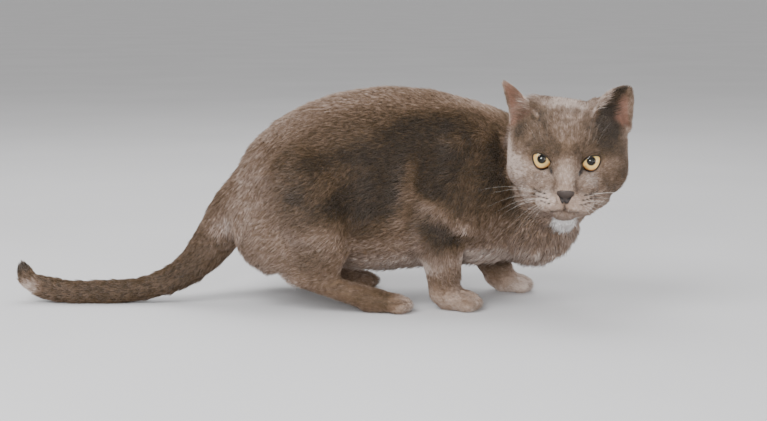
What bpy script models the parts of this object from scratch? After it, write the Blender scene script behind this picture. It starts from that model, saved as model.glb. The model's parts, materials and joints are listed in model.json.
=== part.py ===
"""A short-haired domestic cat at life size, crouching with its head turned to its right.

Frame: metres, +Z up, +X forwards along the trunk, +Y towards the cat's left, the floor at Z = 0.
The masses of the body are given in millimetres and become one closed body, which thin cuts
then part into its named pieces. The surface is the outside of the coat.
"""

import math

import bmesh
import bpy
from mathutils import Euler, Matrix, Vector

MM = 0.001
GAP = 0.3  # clearance between neighbouring pieces

# Driving dimensions, in millimetres
BACK_HEIGHT = 182.0
EYE_SPACING = 39.0
EYE_RADIUS = 10.4
HEAD_CENTRE = Vector((146.0, -76.0, 128.0))  # midway between the eyeballs
HEAD_TURN = Euler((math.radians(-6.0), math.radians(1.7), math.radians(-6.0)), "XYZ")
EAR_WALL = 2.4

VOXEL = 1.8  # of the first, fine body
FINE_TRIANGLES = 3900  # what is left of it after thinning


# ---------------------------------------------------------------- shapes

def clear_scene():
    for obj in list(bpy.data.objects):
        bpy.data.objects.remove(obj)


def smooth_through(values, step, share):
    """Catmull-Rom value between values[step] and values[step + 1], each a tuple."""
    last = len(values) - 1
    a, b = values[max(step - 1, 0)], values[step]
    c, d = values[step + 1], values[min(step + 2, last)]
    return [
        0.5 * (2 * q + (r - p) * share + (2 * p - 5 * q + 4 * r - s) * share ** 2
               + (3 * q - p - 3 * r + s) * share ** 3)
        for p, q, r, s in zip(a, b, c, d)
    ]


def stations_along(stations, per_span):
    """The stations with per_span - 1 more between each two, and a dome at each end."""
    found = []
    for step in range(len(stations) - 1):
        found += [smooth_through(stations, step, k / per_span) for k in range(per_span)]
    found.append(list(stations[-1]))
    return found


def add_tube(bm, stations, front, sides=20, narrow=0.0, per_span=4, dome=0.7):
    """A closed, domed loft through stations (x, y, z, half width, half height).

    The half height is measured along front, the half width across it. narrow above 0
    makes each section egg shaped, slimmer towards front.
    """
    rings = stations_along(stations, per_span)
    centres = [Vector(ring[:3]) for ring in rings]
    frames = []
    for k, centre in enumerate(centres):
        ahead = centres[min(k + 1, len(centres) - 1)] - centres[max(k - 1, 0)]
        ahead.normalize()
        side = ahead.cross(Vector(front)).normalized()
        frames.append((centre, ahead, side, side.cross(ahead), rings[k][3], rings[k][4]))

    def domed(end, sign):
        centre, ahead, side, up, width, height = end
        reach = dome * min(width, height)
        return [
            (centre + sign * ahead * reach * math.sin(a), ahead, side, up,
             width * math.cos(a), height * math.cos(a))
            for a in (math.radians(d) for d in (28, 54, 76))
        ]

    frames = domed(frames[0], -1)[::-1] + frames + domed(frames[-1], 1)

    def place(verts, frame):
        centre, _, side, up, width, height = frame
        for k, vert in enumerate(verts):
            turn = 2 * math.pi * k / sides
            lean = 1 - narrow * math.sin(turn)
            vert.co = (centre + side * (width * math.cos(turn) * lean)
                       + up * (height * math.sin(turn))) * MM

    verts = bmesh.ops.create_circle(bm, segments=sides, radius=MM, cap_ends=True)["verts"]
    place(verts, frames[0])
    edges = [verts[k - 1].link_edges[:] for k in range(sides)]
    rim = {edge for group in edges for edge in group if all(v in verts for v in edge.verts)}
    for frame in frames[1:]:
        made = bmesh.ops.extrude_edge_only(bm, edges=list(rim))["geom"]
        new = [g for g in made if isinstance(g, bmesh.types.BMVert)]
        order = {}
        for vert in new:
            old = next(e.other_vert(vert) for e in vert.link_edges
                       if e.other_vert(vert) not in new)
            order[verts.index(old)] = vert
        verts = [order[k] for k in range(sides)]
        place(verts, frame)
        rim = {g for g in made if isinstance(g, bmesh.types.BMEdge)}
        rim = {e for e in rim if e.verts[0] in new and e.verts[1] in new}
    bmesh.ops.contextual_create(bm, geom=list(rim))


def add_mass(bm, centre, radii, turn=(0, 0, 0), detail=3):
    """An ellipsoid, turned by Euler angles in degrees."""
    spin = Euler([math.radians(a) for a in turn], "XYZ").to_matrix().to_4x4()
    size = Matrix.Diagonal(Vector((*radii, 1.0)))
    place = Matrix.Translation(Vector(centre) * MM) @ spin @ Matrix.Scale(MM, 4) @ size
    bmesh.ops.create_icosphere(bm, subdivisions=detail, radius=1.0, matrix=place)


def mirrored(point, side):
    return (point[0], point[1] * side, *point[2:])


# ---------------------------------------------------------------- trunk, legs and tail

# along the trunk: X, top of the back, underside, half width. The other lines hold X, Y, Z,
# half width and half height, or one radius, and a leg's points are those of the left side.
TRUNK_LINE = [
    (-121, BACK_HEIGHT - 77, 58, 23), (-105, BACK_HEIGHT - 54, 44, 36),
    (-86, BACK_HEIGHT - 35, 36, 46), (-60, BACK_HEIGHT - 17, 31, 52),
    (-30, BACK_HEIGHT - 5, 28, 55), (2, BACK_HEIGHT, 28, 56), (32, BACK_HEIGHT - 2, 30, 54),
    (58, BACK_HEIGHT - 9, 31, 50), (82, BACK_HEIGHT - 17, 31, 46),
    (106, BACK_HEIGHT - 29, 33, 41), (130, BACK_HEIGHT - 44, 38, 34),
    (146, BACK_HEIGHT - 60, 50, 25),
]
NECK_LINE = [
    (78, 0, 112, 34, 44), (108, -4, 106, 36, 48), (132, -17, 104, 36, 45),
    (146, -36, 110, 34, 39), (150, -52, 118, 32, 33),
]
SHOULDER_BLADE = [(60, 26, 154, 12, 16), (70, 34, 130, 16, 27), (72, 42, 100, 20, 34)]
UPPER_ARM = [(76, 42, 98, 19, 30), (58, 46, 82, 19, 30), (42, 47, 66, 15, 20)]
TAIL_LINE = [
    (-112, -2, 90, 24), (-126, -4, 76, 22), (-138, -6, 59, 18.5), (-150, -8, 43, 16),
    (-163, -10, 30, 13.5), (-180, -12, 19.5, 11.5), (-204, -14, 12, 9.8), (-233, -15, 8.8, 9.8),
    (-262, -15, 9.2, 9.8), (-288, -12, 12.4, 9.3), (-303, -8, 20, 8), (-307, -4, 28.5, 6.5),
]

# the cat's right fore leg stands straighter than its left, which is a step ahead
FORE_LEGS = {
    "right": {"side": -1, "elbow": (47, 46, 62), "wrist": (50, 42, 21), "toes": (70, 46, 8)},
    "left": {"side": 1, "elbow": (72, 42, 58), "wrist": (101, 38, 21), "toes": (120, 37, 8)},
}
# "ahead" moves the haunch and "step" the foot; the far foot stays behind the near one
HIND_LEGS = {
    "right": {"side": -1, "ahead": 0.0, "step": 0.0},
    "left": {"side": 1, "ahead": -4.0, "step": -28.0},
}
HIP = (-84, 30, 112)
KNEE = (-45, 51, 46)
HOCK = (-71, 53, 31)
FOOT_BALL = (-10, 54, 11)


def add_trunk(bm):
    middle = [(x, 0, (top + low) / 2, width, (top - low) / 2)
              for x, top, low, width in TRUNK_LINE]
    add_tube(bm, middle, (0, 0, 1), sides=32, narrow=0.16, dome=0.6)
    add_mass(bm, (127, -8, 72), (38, 34, 40))  # breast
    add_tube(bm, NECK_LINE, (0, 0, 1), sides=24, dome=0.4)


def add_shoulder(bm, side):
    add_tube(bm, [mirrored(p, side) for p in SHOULDER_BLADE], (1, 0, 0), dome=0.8)
    add_tube(bm, [mirrored(p, side) for p in UPPER_ARM], (0, 0, 1), dome=0.8)


def add_fore_leg(bm, leg):
    side = leg["side"]
    elbow = Vector(mirrored(leg["elbow"], side))
    wrist = Vector(mirrored(leg["wrist"], side))
    toes = Vector(mirrored(leg["toes"], side))
    middle = elbow.lerp(wrist, 0.5)
    add_tube(bm, [(*elbow, 17, 21), (*middle, 14.5, 17), (*wrist, 12.5, 13.5)], (1, 0, 0))
    heel = Vector((wrist.x - 1, wrist.y, 11))
    add_tube(bm, [(*wrist, 12.5, 13), (*heel, 13, 12)], (1, 0, 0), dome=0.6)
    add_paw(bm, heel + Vector((3, 0, -1.5)), toes, 14.0, 10.8)


def add_paw(bm, heel, toes, half_width, height):
    """The pad and back of a paw, and its four toes in a shallow arc."""
    ahead = (toes - heel).normalized()
    across = Vector((0, 0, 1)).cross(ahead).normalized()
    low = Vector((toes.x, toes.y, height * 0.74))
    add_tube(bm, [(*heel, half_width * 0.86, height), (*low, half_width, height * 0.82)],
             (0, 0, 1), sides=16)
    for place, reach in ((-1.5, -3.5), (-0.5, 1.0), (0.5, 1.0), (1.5, -3.5)):
        toe = low + across * place * half_width * 0.52 + ahead * (reach + 3.0)
        toe.z = height * 0.60
        turn = math.degrees(math.atan2(ahead.y, ahead.x)) + place * 7.0
        add_mass(bm, toe, (9.2, 4.9, 7.6), (0, 0, turn), detail=2)


def add_hind_leg(bm, leg):
    side, ahead, step = leg["side"], leg["ahead"], leg["step"]

    def at(point, *sizes, share=0.0):
        shift = ahead + (step - ahead) * share
        return (point[0] + shift, point[1] * side, point[2], *sizes)

    def low(point, *sizes):
        return at(point, *sizes, share=1.0)

    knee = at(KNEE, share=0.6)
    add_tube(bm, [at(HIP, 20, 38), at((-66, 41, 84), 21, 40, share=0.3), (*knee, 16, 20)],
             (0, 0, 1))
    add_tube(bm, [at((-102, 24, 86), 18, 26), at((-97, 34, 60), 19, 27),
                  at((-82, 42, 47), 15, 22, share=0.3)], (1, 0, 0))
    add_tube(bm, [(*knee, 15, 18), at((-60, 53, 39), 13, 16, share=0.8), low(HOCK, 9.5, 12)],
             (0, 0, 1))
    add_mass(bm, low((-74, 53, 31)), (9, 8.5, 10))
    add_tube(bm, [low(HOCK, 9.5, 10.5), low((-42, 54, 21), 10, 9.5), low(FOOT_BALL, 12, 10.5)],
             (0, 0, 1), sides=16)
    add_paw(bm, Vector(low((-14, 54, 10))), Vector(low((12, 54.5, 8))), 13.0, 10.6)


def add_tail(bm):
    add_tube(bm, [(x, y, z, r, r) for x, y, z, r in TAIL_LINE], (0, 1, 0), sides=20, dome=0.9)


# ---------------------------------------------------------------- head, in its own frame

def add_head(bm):
    """The head faces -Y, midway between the eyes at the origin, X towards the cat's left."""
    add_mass(bm, (0, 25, 16.5), (37, 38, 34))  # brain case
    add_mass(bm, (0, 6, 18), (27, 18, 24), (-28, 0, 0))  # forehead
    add_mass(bm, (0, -5, -19), (26, 22, 20))  # face between the cheeks
    add_tube(bm, [(0, -3, 6, 12, 10), (0, -17, -6, 9.8, 9), (0, -27, -16, 8.4, 8),
                  (0, -32.5, -24, 7.2, 7)], (0, 0, 1), sides=16)  # bridge of the nose
    add_mass(bm, (0, -16, -40), (11.5, 12, 7.5))  # chin
    add_mass(bm, (0, 4, -35), (27, 24, 11))  # lower jaw
    add_mass(bm, (0, 26, -24), (34, 30, 20))  # throat
    for side in (-1, 1):
        add_mass(bm, (side * 24.6 + 1.2, 17, -3), (24.8, 24, 26))  # cheek
        add_mass(bm, (side * 22 + 0.6, 10, -24), (14, 20, 14))  # jowl
        add_mass(bm, (side * 27.3 + 1.2, 25, 10), (21.8, 26, 25))  # temple
        add_mass(bm, (side * 17, 27, 23.5), (26, 27, 28.5))  # root of the ear
        add_mass(bm, (side * 21, 1, -13), (14, 11, 9))  # below the eye
        add_mass(bm, (side * 17, 1, 13), (14, 10, 7), (0, side * 14, 0))  # brow
        add_mass(bm, (side * 11.2, -21, -32.5), (13, 13.5, 9.6))  # whisker pad


# edges of each ear at its root, its tip, and the way its hollow looks
EARS = {
    "right": {"inner": (-25, 9, 36), "outer": (-42.5, 32, 20), "tip": (-52.3, 26, 62.5),
              "looks": (-0.5, -0.85, 0.1), "hollow": 11.0, "round": 0.58},
    "left": {"inner": (20, 10, 38), "outer": (49, 22, 24), "tip": (47.5, 20, 62),
             "looks": (0.2, -0.95, 0.1), "hollow": 12.0, "round": 0.44},
}
EAR_ROWS, EAR_COLUMNS = 9, 8


def add_ear(bm, ear):
    """One cupped sheet from inside the head to the tip, to be given its thickness later."""
    inner, outer, tip = (Vector(ear[k]) for k in ("inner", "outer", "tip"))
    across = (outer - inner).normalized()
    half = (outer - inner).length / 2
    root = (inner + outer) / 2
    rise = tip - root
    back = across.cross(rise).normalized()
    if back.dot(Vector(ear["looks"])) > 0:
        back = -back
    bmesh.ops.create_grid(bm, x_segments=EAR_COLUMNS, y_segments=EAR_ROWS, size=1.0)
    for vert in bm.verts:
        share = (vert.co.y + 1) / 2
        up = -0.3 + 1.3 * (1 - (1 - share) ** 1.35)
        width = half * max(0.07, (1 - max(up, 0.0)) ** ear["round"] * (1.06 - 0.12 * abs(up - 0.3)))
        bend = math.radians(78 - 30 * max(up, 0.0))
        turn = vert.co.x * bend
        depth = ear["hollow"] * (1.05 - 0.8 * max(up, 0.0))
        along = math.sin(turn) / math.sin(bend)
        deep = (math.cos(turn) - math.cos(bend)) / (1 - math.cos(bend))
        vert.co = (root + rise * up + across * width * along + back * depth * deep) * MM


def head_matrix():
    return Matrix.Translation(HEAD_CENTRE * MM) @ HEAD_TURN.to_matrix().to_4x4()


def in_head(point):
    """A point of the head's own frame, in the body's frame, millimetres."""
    return head_matrix() @ (Vector(point) * MM) / MM


# ---------------------------------------------------------------- one body

def object_from(bm, name):
    bmesh.ops.recalc_face_normals(bm, faces=bm.faces)
    mesh = bpy.data.meshes.new(name)
    bm.to_mesh(mesh)
    bm.free()
    obj = bpy.data.objects.new(name, mesh)
    bpy.context.scene.collection.objects.link(obj)
    return obj


def baked(obj):
    """Replaces the object's mesh with what its modifiers make of it."""
    bpy.context.view_layer.update()
    graph = bpy.context.evaluated_depsgraph_get()
    mesh = bpy.data.meshes.new_from_object(obj.evaluated_get(graph))
    obj.modifiers.clear()
    obj.data = mesh
    return obj


def weigh(obj, name, weight_at):
    """A vertex group whose weight is weight_at(point in millimetres)."""
    group = obj.vertex_groups.new(name=name)
    for vert in obj.data.vertices:
        group.add([vert.index], weight_at(vert.co / MM), "REPLACE")


def nearness(point, centre, inner, outer):
    """1 within inner of the centre, 0 beyond outer."""
    away = (point - Vector(centre)).length
    return min(1.0, max(0.0, (outer - away) / (outer - inner)))


FACE = in_head((0, -8, -12))


def detail_at(point):
    """1 on the face and paws, which keep their small forms, 0 on the trunk."""
    on_face = nearness(point, FACE, 36, 66)
    on_paws = min(1.0, max(0.0, (26 - point.z) / 10)) if point.x > -90 else 0.0
    return max(on_face, on_paws * 0.9)


def whole_body():
    bm = bmesh.new()
    add_trunk(bm)
    for leg in FORE_LEGS.values():
        add_shoulder(bm, leg["side"])
        add_fore_leg(bm, leg)
    for leg in HIND_LEGS.values():
        add_hind_leg(bm, leg)
    add_tail(bm)
    head = bmesh.new()
    add_head(head)
    bmesh.ops.transform(head, matrix=head_matrix(), verts=head.verts)
    mesh = bpy.data.meshes.new("head masses")
    head.to_mesh(mesh)
    head.free()
    bm.from_mesh(mesh)
    body = object_from(bm, "whole")
    remesh = body.modifiers.new("one skin", "REMESH")
    remesh.mode = "VOXEL"
    remesh.voxel_size = VOXEL * MM
    baked(body)
    weigh(body, "broad", lambda p: 1.0 - 0.86 * detail_at(p))
    for name, iterations, group in (("broad", 26, "broad"), ("fine", 3, "")):
        smooth = body.modifiers.new(name, "SMOOTH")
        smooth.factor = 0.5
        smooth.iterations = iterations
        smooth.vertex_group = group
    baked(body)
    thin = body.modifiers.new("thin", "DECIMATE")
    thin.vertex_group = "broad"
    thin.vertex_group_factor = 0.05
    thin.ratio = FINE_TRIANGLES / (2.0 * len(body.data.polygons))
    weigh(body, "broad", lambda p: 1.0 - 0.9 * detail_at(p))
    baked(body)
    trim(body, block("below the floor", (-60, 0, -40), (400, 300, 40)), "DIFFERENCE")
    return body


# ---------------------------------------------------------------- cutting it into its parts

def block(name, centre, half, turn=(0, 0, 0), grow=0.0):
    """A cutter: a box given by its half sizes."""
    bm = bmesh.new()
    size = Matrix.Diagonal(Vector((*(2 * (h + grow) for h in half), 1.0)))
    spin = Euler([math.radians(a) for a in turn], "XYZ").to_matrix().to_4x4()
    place = Matrix.Translation(Vector(centre) * MM) @ spin @ Matrix.Scale(MM, 4) @ size
    bmesh.ops.create_cube(bm, size=1.0, matrix=place)
    return object_from(bm, name)


def ball(name, centre, radii, grow=0.0, detail=3):
    """A cutter: an ellipsoid."""
    bm = bmesh.new()
    add_mass(bm, centre, [r + grow for r in radii], detail=detail)
    return object_from(bm, name)


def trim(obj, tool, operation):
    """One exact Boolean, applied, keeping the largest body; the tool is used up."""
    cut = obj.modifiers.new("cut", "BOOLEAN")
    cut.solver = "EXACT"
    cut.operation = operation
    cut.object = tool
    baked(obj)
    bpy.data.objects.remove(tool)
    keep_largest(obj)
    return obj


def keep_largest(obj):
    bm = bmesh.new()
    bm.from_mesh(obj.data)
    islands, seen = [], set()
    for start in bm.verts:
        if start in seen:
            continue
        island, queue = [], [start]
        seen.add(start)
        while queue:
            vert = queue.pop()
            island.append(vert)
            for edge in vert.link_edges:
                other = edge.other_vert(vert)
                if other not in seen:
                    seen.add(other)
                    queue.append(other)
        islands.append(island)
    islands.sort(key=len, reverse=True)
    for island in islands[1:]:
        bmesh.ops.delete(bm, geom=island, context="VERTS")
    bmesh.ops.dissolve_degenerate(bm, dist=0.00002, edges=bm.edges)
    bm.to_mesh(obj.data)
    bm.free()


def copied(obj, name):
    twin = obj.copy()
    twin.data = obj.data.copy()
    twin.name = name
    bpy.context.scene.collection.objects.link(twin)
    return twin


def part_off(rest, name, make, *sizes, **more):
    """The part of rest inside a region becomes its own object; rest loses it and the gap."""
    piece = trim(copied(rest, name), make(name + " region", *sizes, **more), "INTERSECT")
    trim(rest, make(name + " gap", *sizes, grow=GAP, **more), "DIFFERENCE")
    return piece


# regions that hold each length of leg: centre, then half sizes or radii; X counts from the
# wrist, from midway between wrist and elbow, from the trunk's origin, and from "step"
PAW_REGION = ((8, 44, 3), (31, 30, 11))
FOREARM_REGION = ((2, 47.5, 32.1), (29, 22, 17.8))
UPPER_ARM_REGION = ((58, 62, 96), (44, 36, 50))
HIND_FOOT_REGION = ((-17, 57, -3), (74, 27, 25))
LOWER_LEG_REGION = ((-46.5, 60, 46), (41, 28, 12.7))
THIGH_REGION = ((-78, 60, 90), (50, 36, 54))
FOOT_SLOPE = (0, 17.2, 0)  # of the hind foot, heel up


def part_leg(rest, name, make, region, x, side, **more):
    centre, sizes = region
    part_off(rest, name, make, (centre[0] + x, centre[1] * side, centre[2]), sizes, **more)


def part_legs(rest):
    for name, leg in FORE_LEGS.items():
        side, wrist, elbow = leg["side"], leg["wrist"][0], leg["elbow"][0]
        part_leg(rest, "forepaw_" + name, block, PAW_REGION, wrist, side)
        part_leg(rest, "forearm_" + name, block, FOREARM_REGION, (wrist + elbow) / 2, side)
        part_leg(rest, "upper_arm_" + name, ball, UPPER_ARM_REGION, 0, side, detail=2)
    for name, leg in HIND_LEGS.items():
        side, x = leg["side"], leg["step"]
        part_leg(rest, "hind_foot_" + name, block, HIND_FOOT_REGION, x, side, turn=FOOT_SLOPE)
        part_leg(rest, "lower_leg_" + name, block, LOWER_LEG_REGION, x, side, turn=FOOT_SLOPE)
        part_leg(rest, "thigh_" + name, ball, THIGH_REGION, leg["ahead"], side, detail=2)


def nose_region(name, grow=0.0):
    """A wedge with the outline of the nose leather, running into the head."""
    bm = bmesh.new()
    wide, top, low = 6.6 + grow, -24.6 + grow, -34.0 - grow
    corners = [(-wide, top), (-wide * 0.5, top + 0.8), (wide * 0.5, top + 0.8), (wide, top),
               (wide * 0.96, top - 2.4), (1.2 + grow, low), (-1.2 - grow, low),
               (-wide * 0.96, top - 2.4)]
    verts = [bm.verts.new(Vector((x, -60, z))) for x, z in corners]
    face = bm.faces.new(verts)
    made = bmesh.ops.extrude_face_region(bm, geom=[face])["geom"]
    far = [g for g in made if isinstance(g, bmesh.types.BMVert)]
    bmesh.ops.translate(bm, vec=(0, 30.0 + grow, 0), verts=far)
    bmesh.ops.scale(bm, vec=(MM, MM, MM), verts=bm.verts)
    bmesh.ops.transform(bm, matrix=head_matrix(), verts=bm.verts)
    return object_from(bm, name)


def part_head(rest):
    head = part_off(rest, "head", ball, (150, -66, 130), (60, 64, 60))
    part_off(head, "nose", nose_region)
    for name, side in (("right", -1), ("left", 1)):
        centre = in_head((side * EYE_SPACING / 2, 0, 0))
        trim(head, ball("socket", centre, [EYE_RADIUS + GAP] * 3), "DIFFERENCE")
        ball("eye_" + name, centre, [EYE_RADIUS] * 3)
    for name, shape in EARS.items():
        bm = bmesh.new()
        add_ear(bm, shape)
        bmesh.ops.transform(bm, matrix=head_matrix(), verts=bm.verts)
        ear = object_from(bm, "ear_" + name)
        wall = ear.modifiers.new("wall", "SOLIDIFY")
        wall.thickness = EAR_WALL * MM
        wall.offset = 0.0
        baked(ear)
        near = copied(head, "head and gap")
        swell = near.modifiers.new("gap", "DISPLACE")
        swell.strength = GAP * MM
        swell.mid_level = 0.0
        baked(near)
        trim(ear, near, "DIFFERENCE")
    return head


def part_tail(rest):
    part_off(rest, "tail_tip", block, (-312, -10, 20), (60, 60, 60))
    part_off(rest, "tail_middle", block, (-222, -10, 20), (33, 60, 60))
    part_off(rest, "tail_base", block, (-177, 0, 18), (60, 60, 70), turn=(0, -47, 0))


COAT = ("grey coat", (0.20, 0.16, 0.13), 0.9)
COAT_PARTS = (
    "head", "ear_right", "ear_left", "neck", "chest", "loins", "tail_base", "tail_middle",
    "tail_tip", "upper_arm_right", "upper_arm_left", "forearm_right", "forearm_left",
    "forepaw_right", "forepaw_left", "thigh_right", "thigh_left", "lower_leg_right",
    "lower_leg_left", "hind_foot_right", "hind_foot_left",
)
FINISHES = {name: (name + " coat", *COAT[1:]) for name in COAT_PARTS}
FINISHES["nose"] = ("nose leather", (0.06, 0.045, 0.04), 0.5)
FINISHES["eye_right"] = ("eye_right amber", (0.60, 0.38, 0.13), 0.1)
FINISHES["eye_left"] = ("eye_left amber", (0.60, 0.38, 0.13), 0.1)


def finish_parts():
    for name, (label, colour, roughness) in FINISHES.items():
        obj = bpy.data.objects[name]
        obj.vertex_groups.clear()
        obj.data.shade_smooth()
        obj.data.set_sharp_from_angle(angle=math.radians(35))
        material = bpy.data.materials.new(label)
        material.use_nodes = True
        shader = material.node_tree.nodes["Principled BSDF"]
        shader.inputs["Base Color"].default_value = (*colour, 1.0)
        shader.inputs["Roughness"].default_value = roughness
        shader.inputs["Metallic"].default_value = 0.0
        material.diffuse_color = (*colour, 1.0)
        obj.data.materials.clear()
        obj.data.materials.append(material)


def centre_parts():
    """Puts the origin in the middle of the footprint."""
    points = [v.co for name in FINISHES for v in bpy.data.objects[name].data.vertices]
    low = Vector([min(p[k] for p in points) for k in range(3)])
    high = Vector([max(p[k] for p in points) for k in range(3)])
    shift = Vector((-(low.x + high.x) / 2, -(low.y + high.y) / 2, -low.z))
    for name in FINISHES:
        bpy.data.objects[name].data.transform(Matrix.Translation(shift))


def main():
    clear_scene()
    rest = whole_body()
    part_head(rest)
    # a slanting cut before the shoulders, and one across the trunk behind the ribs
    part_off(rest, "neck", block, (206.4, -20, 161.5), (100, 120, 110), turn=(0, -36.3, 0))
    part_legs(rest)
    part_tail(rest)
    part_off(rest, "chest", block, (146, 0, 100), (150, 120, 120))
    rest.name = "loins"
    finish_parts()
    centre_parts()


main()
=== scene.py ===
import json
import math

import bmesh
import bpy
import numpy as np
from mathutils import Euler, Matrix, Vector, noise
from mathutils.bvhtree import BVHTree

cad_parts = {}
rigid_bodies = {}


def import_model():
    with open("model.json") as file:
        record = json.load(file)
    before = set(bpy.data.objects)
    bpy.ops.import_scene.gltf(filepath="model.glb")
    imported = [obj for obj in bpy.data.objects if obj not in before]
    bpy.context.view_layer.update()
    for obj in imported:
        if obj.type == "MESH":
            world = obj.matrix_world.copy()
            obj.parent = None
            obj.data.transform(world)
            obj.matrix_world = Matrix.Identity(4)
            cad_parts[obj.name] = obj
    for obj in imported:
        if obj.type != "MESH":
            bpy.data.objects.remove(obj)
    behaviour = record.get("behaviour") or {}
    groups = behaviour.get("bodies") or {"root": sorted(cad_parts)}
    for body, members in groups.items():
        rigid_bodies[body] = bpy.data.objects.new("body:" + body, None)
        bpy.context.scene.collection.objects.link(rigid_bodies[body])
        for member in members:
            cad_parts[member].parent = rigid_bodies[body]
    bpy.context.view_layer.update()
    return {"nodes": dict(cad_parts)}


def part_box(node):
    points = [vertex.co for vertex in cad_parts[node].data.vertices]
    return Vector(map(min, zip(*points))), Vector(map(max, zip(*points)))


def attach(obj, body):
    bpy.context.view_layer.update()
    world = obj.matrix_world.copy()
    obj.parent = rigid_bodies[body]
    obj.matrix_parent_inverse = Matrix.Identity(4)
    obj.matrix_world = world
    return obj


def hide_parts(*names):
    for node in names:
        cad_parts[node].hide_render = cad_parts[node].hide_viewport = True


for thing in list(bpy.data.objects):  # the start-up cube, light and camera
    bpy.data.objects.remove(thing)
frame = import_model()
mm = 0.001

# where the head sits and how it is turned, in millimetres and degrees
head = {
    "centre": (146.0, -76.0, 128.0),
    "turn": (-6, 1.7, -6.0),
    "eyeAside": 19.5,
    "eyeRadius": 10.4,
}


def boxMiddle(node):
    low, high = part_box(node)
    return (low + high) / 2


eyesMiddle = (boxMiddle("eye_right") + boxMiddle("eye_left")) / 2
bodyOrigin = np.array(eyesMiddle - Vector(head["centre"]) * mm)
headRotation = Euler([math.radians(a) for a in head["turn"]], "XYZ").to_matrix()
headMatrix = Matrix.Translation(eyesMiddle) @ headRotation.to_4x4()
headAxes = np.array(headRotation)
eyeSpots = {side: (side * head["eyeAside"], 0.0, 0.0) for side in (-1, 1)}


def fromBody(points):
    return np.array(points, float) * mm + bodyOrigin


def toBody(places):
    return (places - bodyOrigin) / mm


def fromHead(points):
    return np.array(points, float) * mm @ headAxes.T + np.array(eyesMiddle)


def toHead(places):
    return (places - np.array(eyesMiddle)) @ headAxes / mm


def fade(value, none, full):  # 0 at none, 1 at full, smooth between
    share = np.clip((value - none) / (full - none), 0, 1)
    return share * share * (3 - 2 * share)


def hump(gap, width):  # 1 where the gap is 0, falling off as it grows
    return np.exp(-(gap / width) ** 2)


def inEgg(local, radii, back, none, full):  # 1 inside an egg round the head, 0 outside it
    return fade(np.linalg.norm(local / radii - (0, back, 0), axis=1), none, full)


def unit(vectors):
    return vectors / np.maximum(np.linalg.norm(vectors, axis=-1, keepdims=True), 1e-12)


def rounded(points, perSpan=6, closed=False):  # a smooth line through the given points
    points = np.array(points, float)
    if closed:
        points = np.vstack([points[-1:], points, points[:2]])
    else:
        points = np.vstack([2 * points[0] - points[1], points, 2 * points[-1] - points[-2]])
    line = []
    for a, b, c, d in zip(points, points[1:], points[2:], points[3:]):
        for step in range(perSpan):
            t = step / perSpan
            line.append(0.5 * (2 * b + (c - a) * t + (2 * a - 5 * b + 4 * c - d) * t * t
                               + (3 * b - a - 3 * c + d) * t ** 3))
    if not closed:
        line.append(points[-2])
    return np.array(line)


def nearPath(places, path):  # distance to the path, and the way it runs there
    best = np.full(len(places), 1e9)
    way = np.zeros((len(places), places.shape[1]))
    for start, end in zip(path, path[1:]):
        run = end - start
        share = np.clip((places - start) @ run / max(run @ run, 1e-12), 0, 1)
        gap = np.linalg.norm(places - (start + share[:, None] * run), axis=1)
        closer = gap < best
        best[closer] = gap[closer]
        way[closer] = run / max(np.linalg.norm(run), 1e-12)
    return best, way


def placed(name, data):
    made = bpy.data.objects.new(name, data)
    bpy.context.scene.collection.objects.link(made)
    return made


def objectFrom(bm, name):
    mesh = bpy.data.meshes.new(name)
    bm.to_mesh(mesh)
    bm.free()
    return placed(name, mesh)


def addPart(whole, part):  # puts a part's faces into the whole, and drops the part
    loose = bpy.data.meshes.new("part")
    part.to_mesh(loose)
    part.free()
    whole.from_mesh(loose)
    bpy.data.meshes.remove(loose)


def smoothShaded(piece):
    piece.data.polygons.foreach_set("use_smooth", [True] * len(piece.data.polygons))
    return piece


def vertexPlaces(mesh):
    places = np.empty(len(mesh.vertices) * 3, np.float32)
    mesh.vertices.foreach_get("co", places)
    return places.reshape(-1, 3).astype(float)


def vertexNormals(mesh):
    normals = np.empty(len(mesh.vertices) * 3, np.float32)
    mesh.vertex_normals.foreach_get("vector", normals)
    return normals.reshape(-1, 3).astype(float)


def movePlaces(mesh, places):
    mesh.vertices.foreach_set("co", places.astype(np.float32).ravel())
    mesh.update()


def treeOf(mesh, places):  # for finding what is nearest, or in the way, on a mesh
    return BVHTree.FromPolygons([tuple(place) for place in places],
                                [tuple(poly.vertices) for poly in mesh.polygons])


def relax(mesh, places, weight, times):  # evens the surface out, by each point's weight
    edges = np.empty(len(mesh.edges) * 2, np.int32)
    mesh.edges.foreach_get("vertices", edges)
    first, second = edges.reshape(-1, 2).T
    ends = np.concatenate([first, second])
    others = np.concatenate([second, first])
    count = np.maximum(np.bincount(ends, minlength=len(places)), 1)
    for _ in range(times):
        pull = np.stack([np.bincount(ends, places[others, axis], len(places))
                         for axis in range(3)], axis=1) / count[:, None] - places
        places = places + pull * (0.5 * weight)[:, None]
    return places


def saveAttribute(mesh, name, values):
    layer = mesh.attributes.new(name, "FLOAT", "POINT")
    layer.data.foreach_set("value", values.astype(np.float32).ravel())


# the camera: its place is in millimetres from the body's own origin
view = {
    "target": (0.0, 0.0, 76.6),
    "elevation": 8.0,
    "distance": 1350.0,
    "focal": 74.53,
    "sensor": 36.0,
}


def addCamera():
    data = bpy.data.cameras.new("camera")
    data.lens = view["focal"]
    data.sensor_width = view["sensor"]
    data.clip_start = 0.05
    camera = placed("camera", data)
    rise = math.radians(view["elevation"])
    back = Vector((0, -math.cos(rise), math.sin(rise)))
    camera.location = Vector(fromBody(view["target"])) + back * view["distance"] * mm
    camera.rotation_euler = back.to_track_quat("Z", "Y").to_euler()
    bpy.context.scene.camera = camera


addCamera()
print("camera set")


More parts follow.
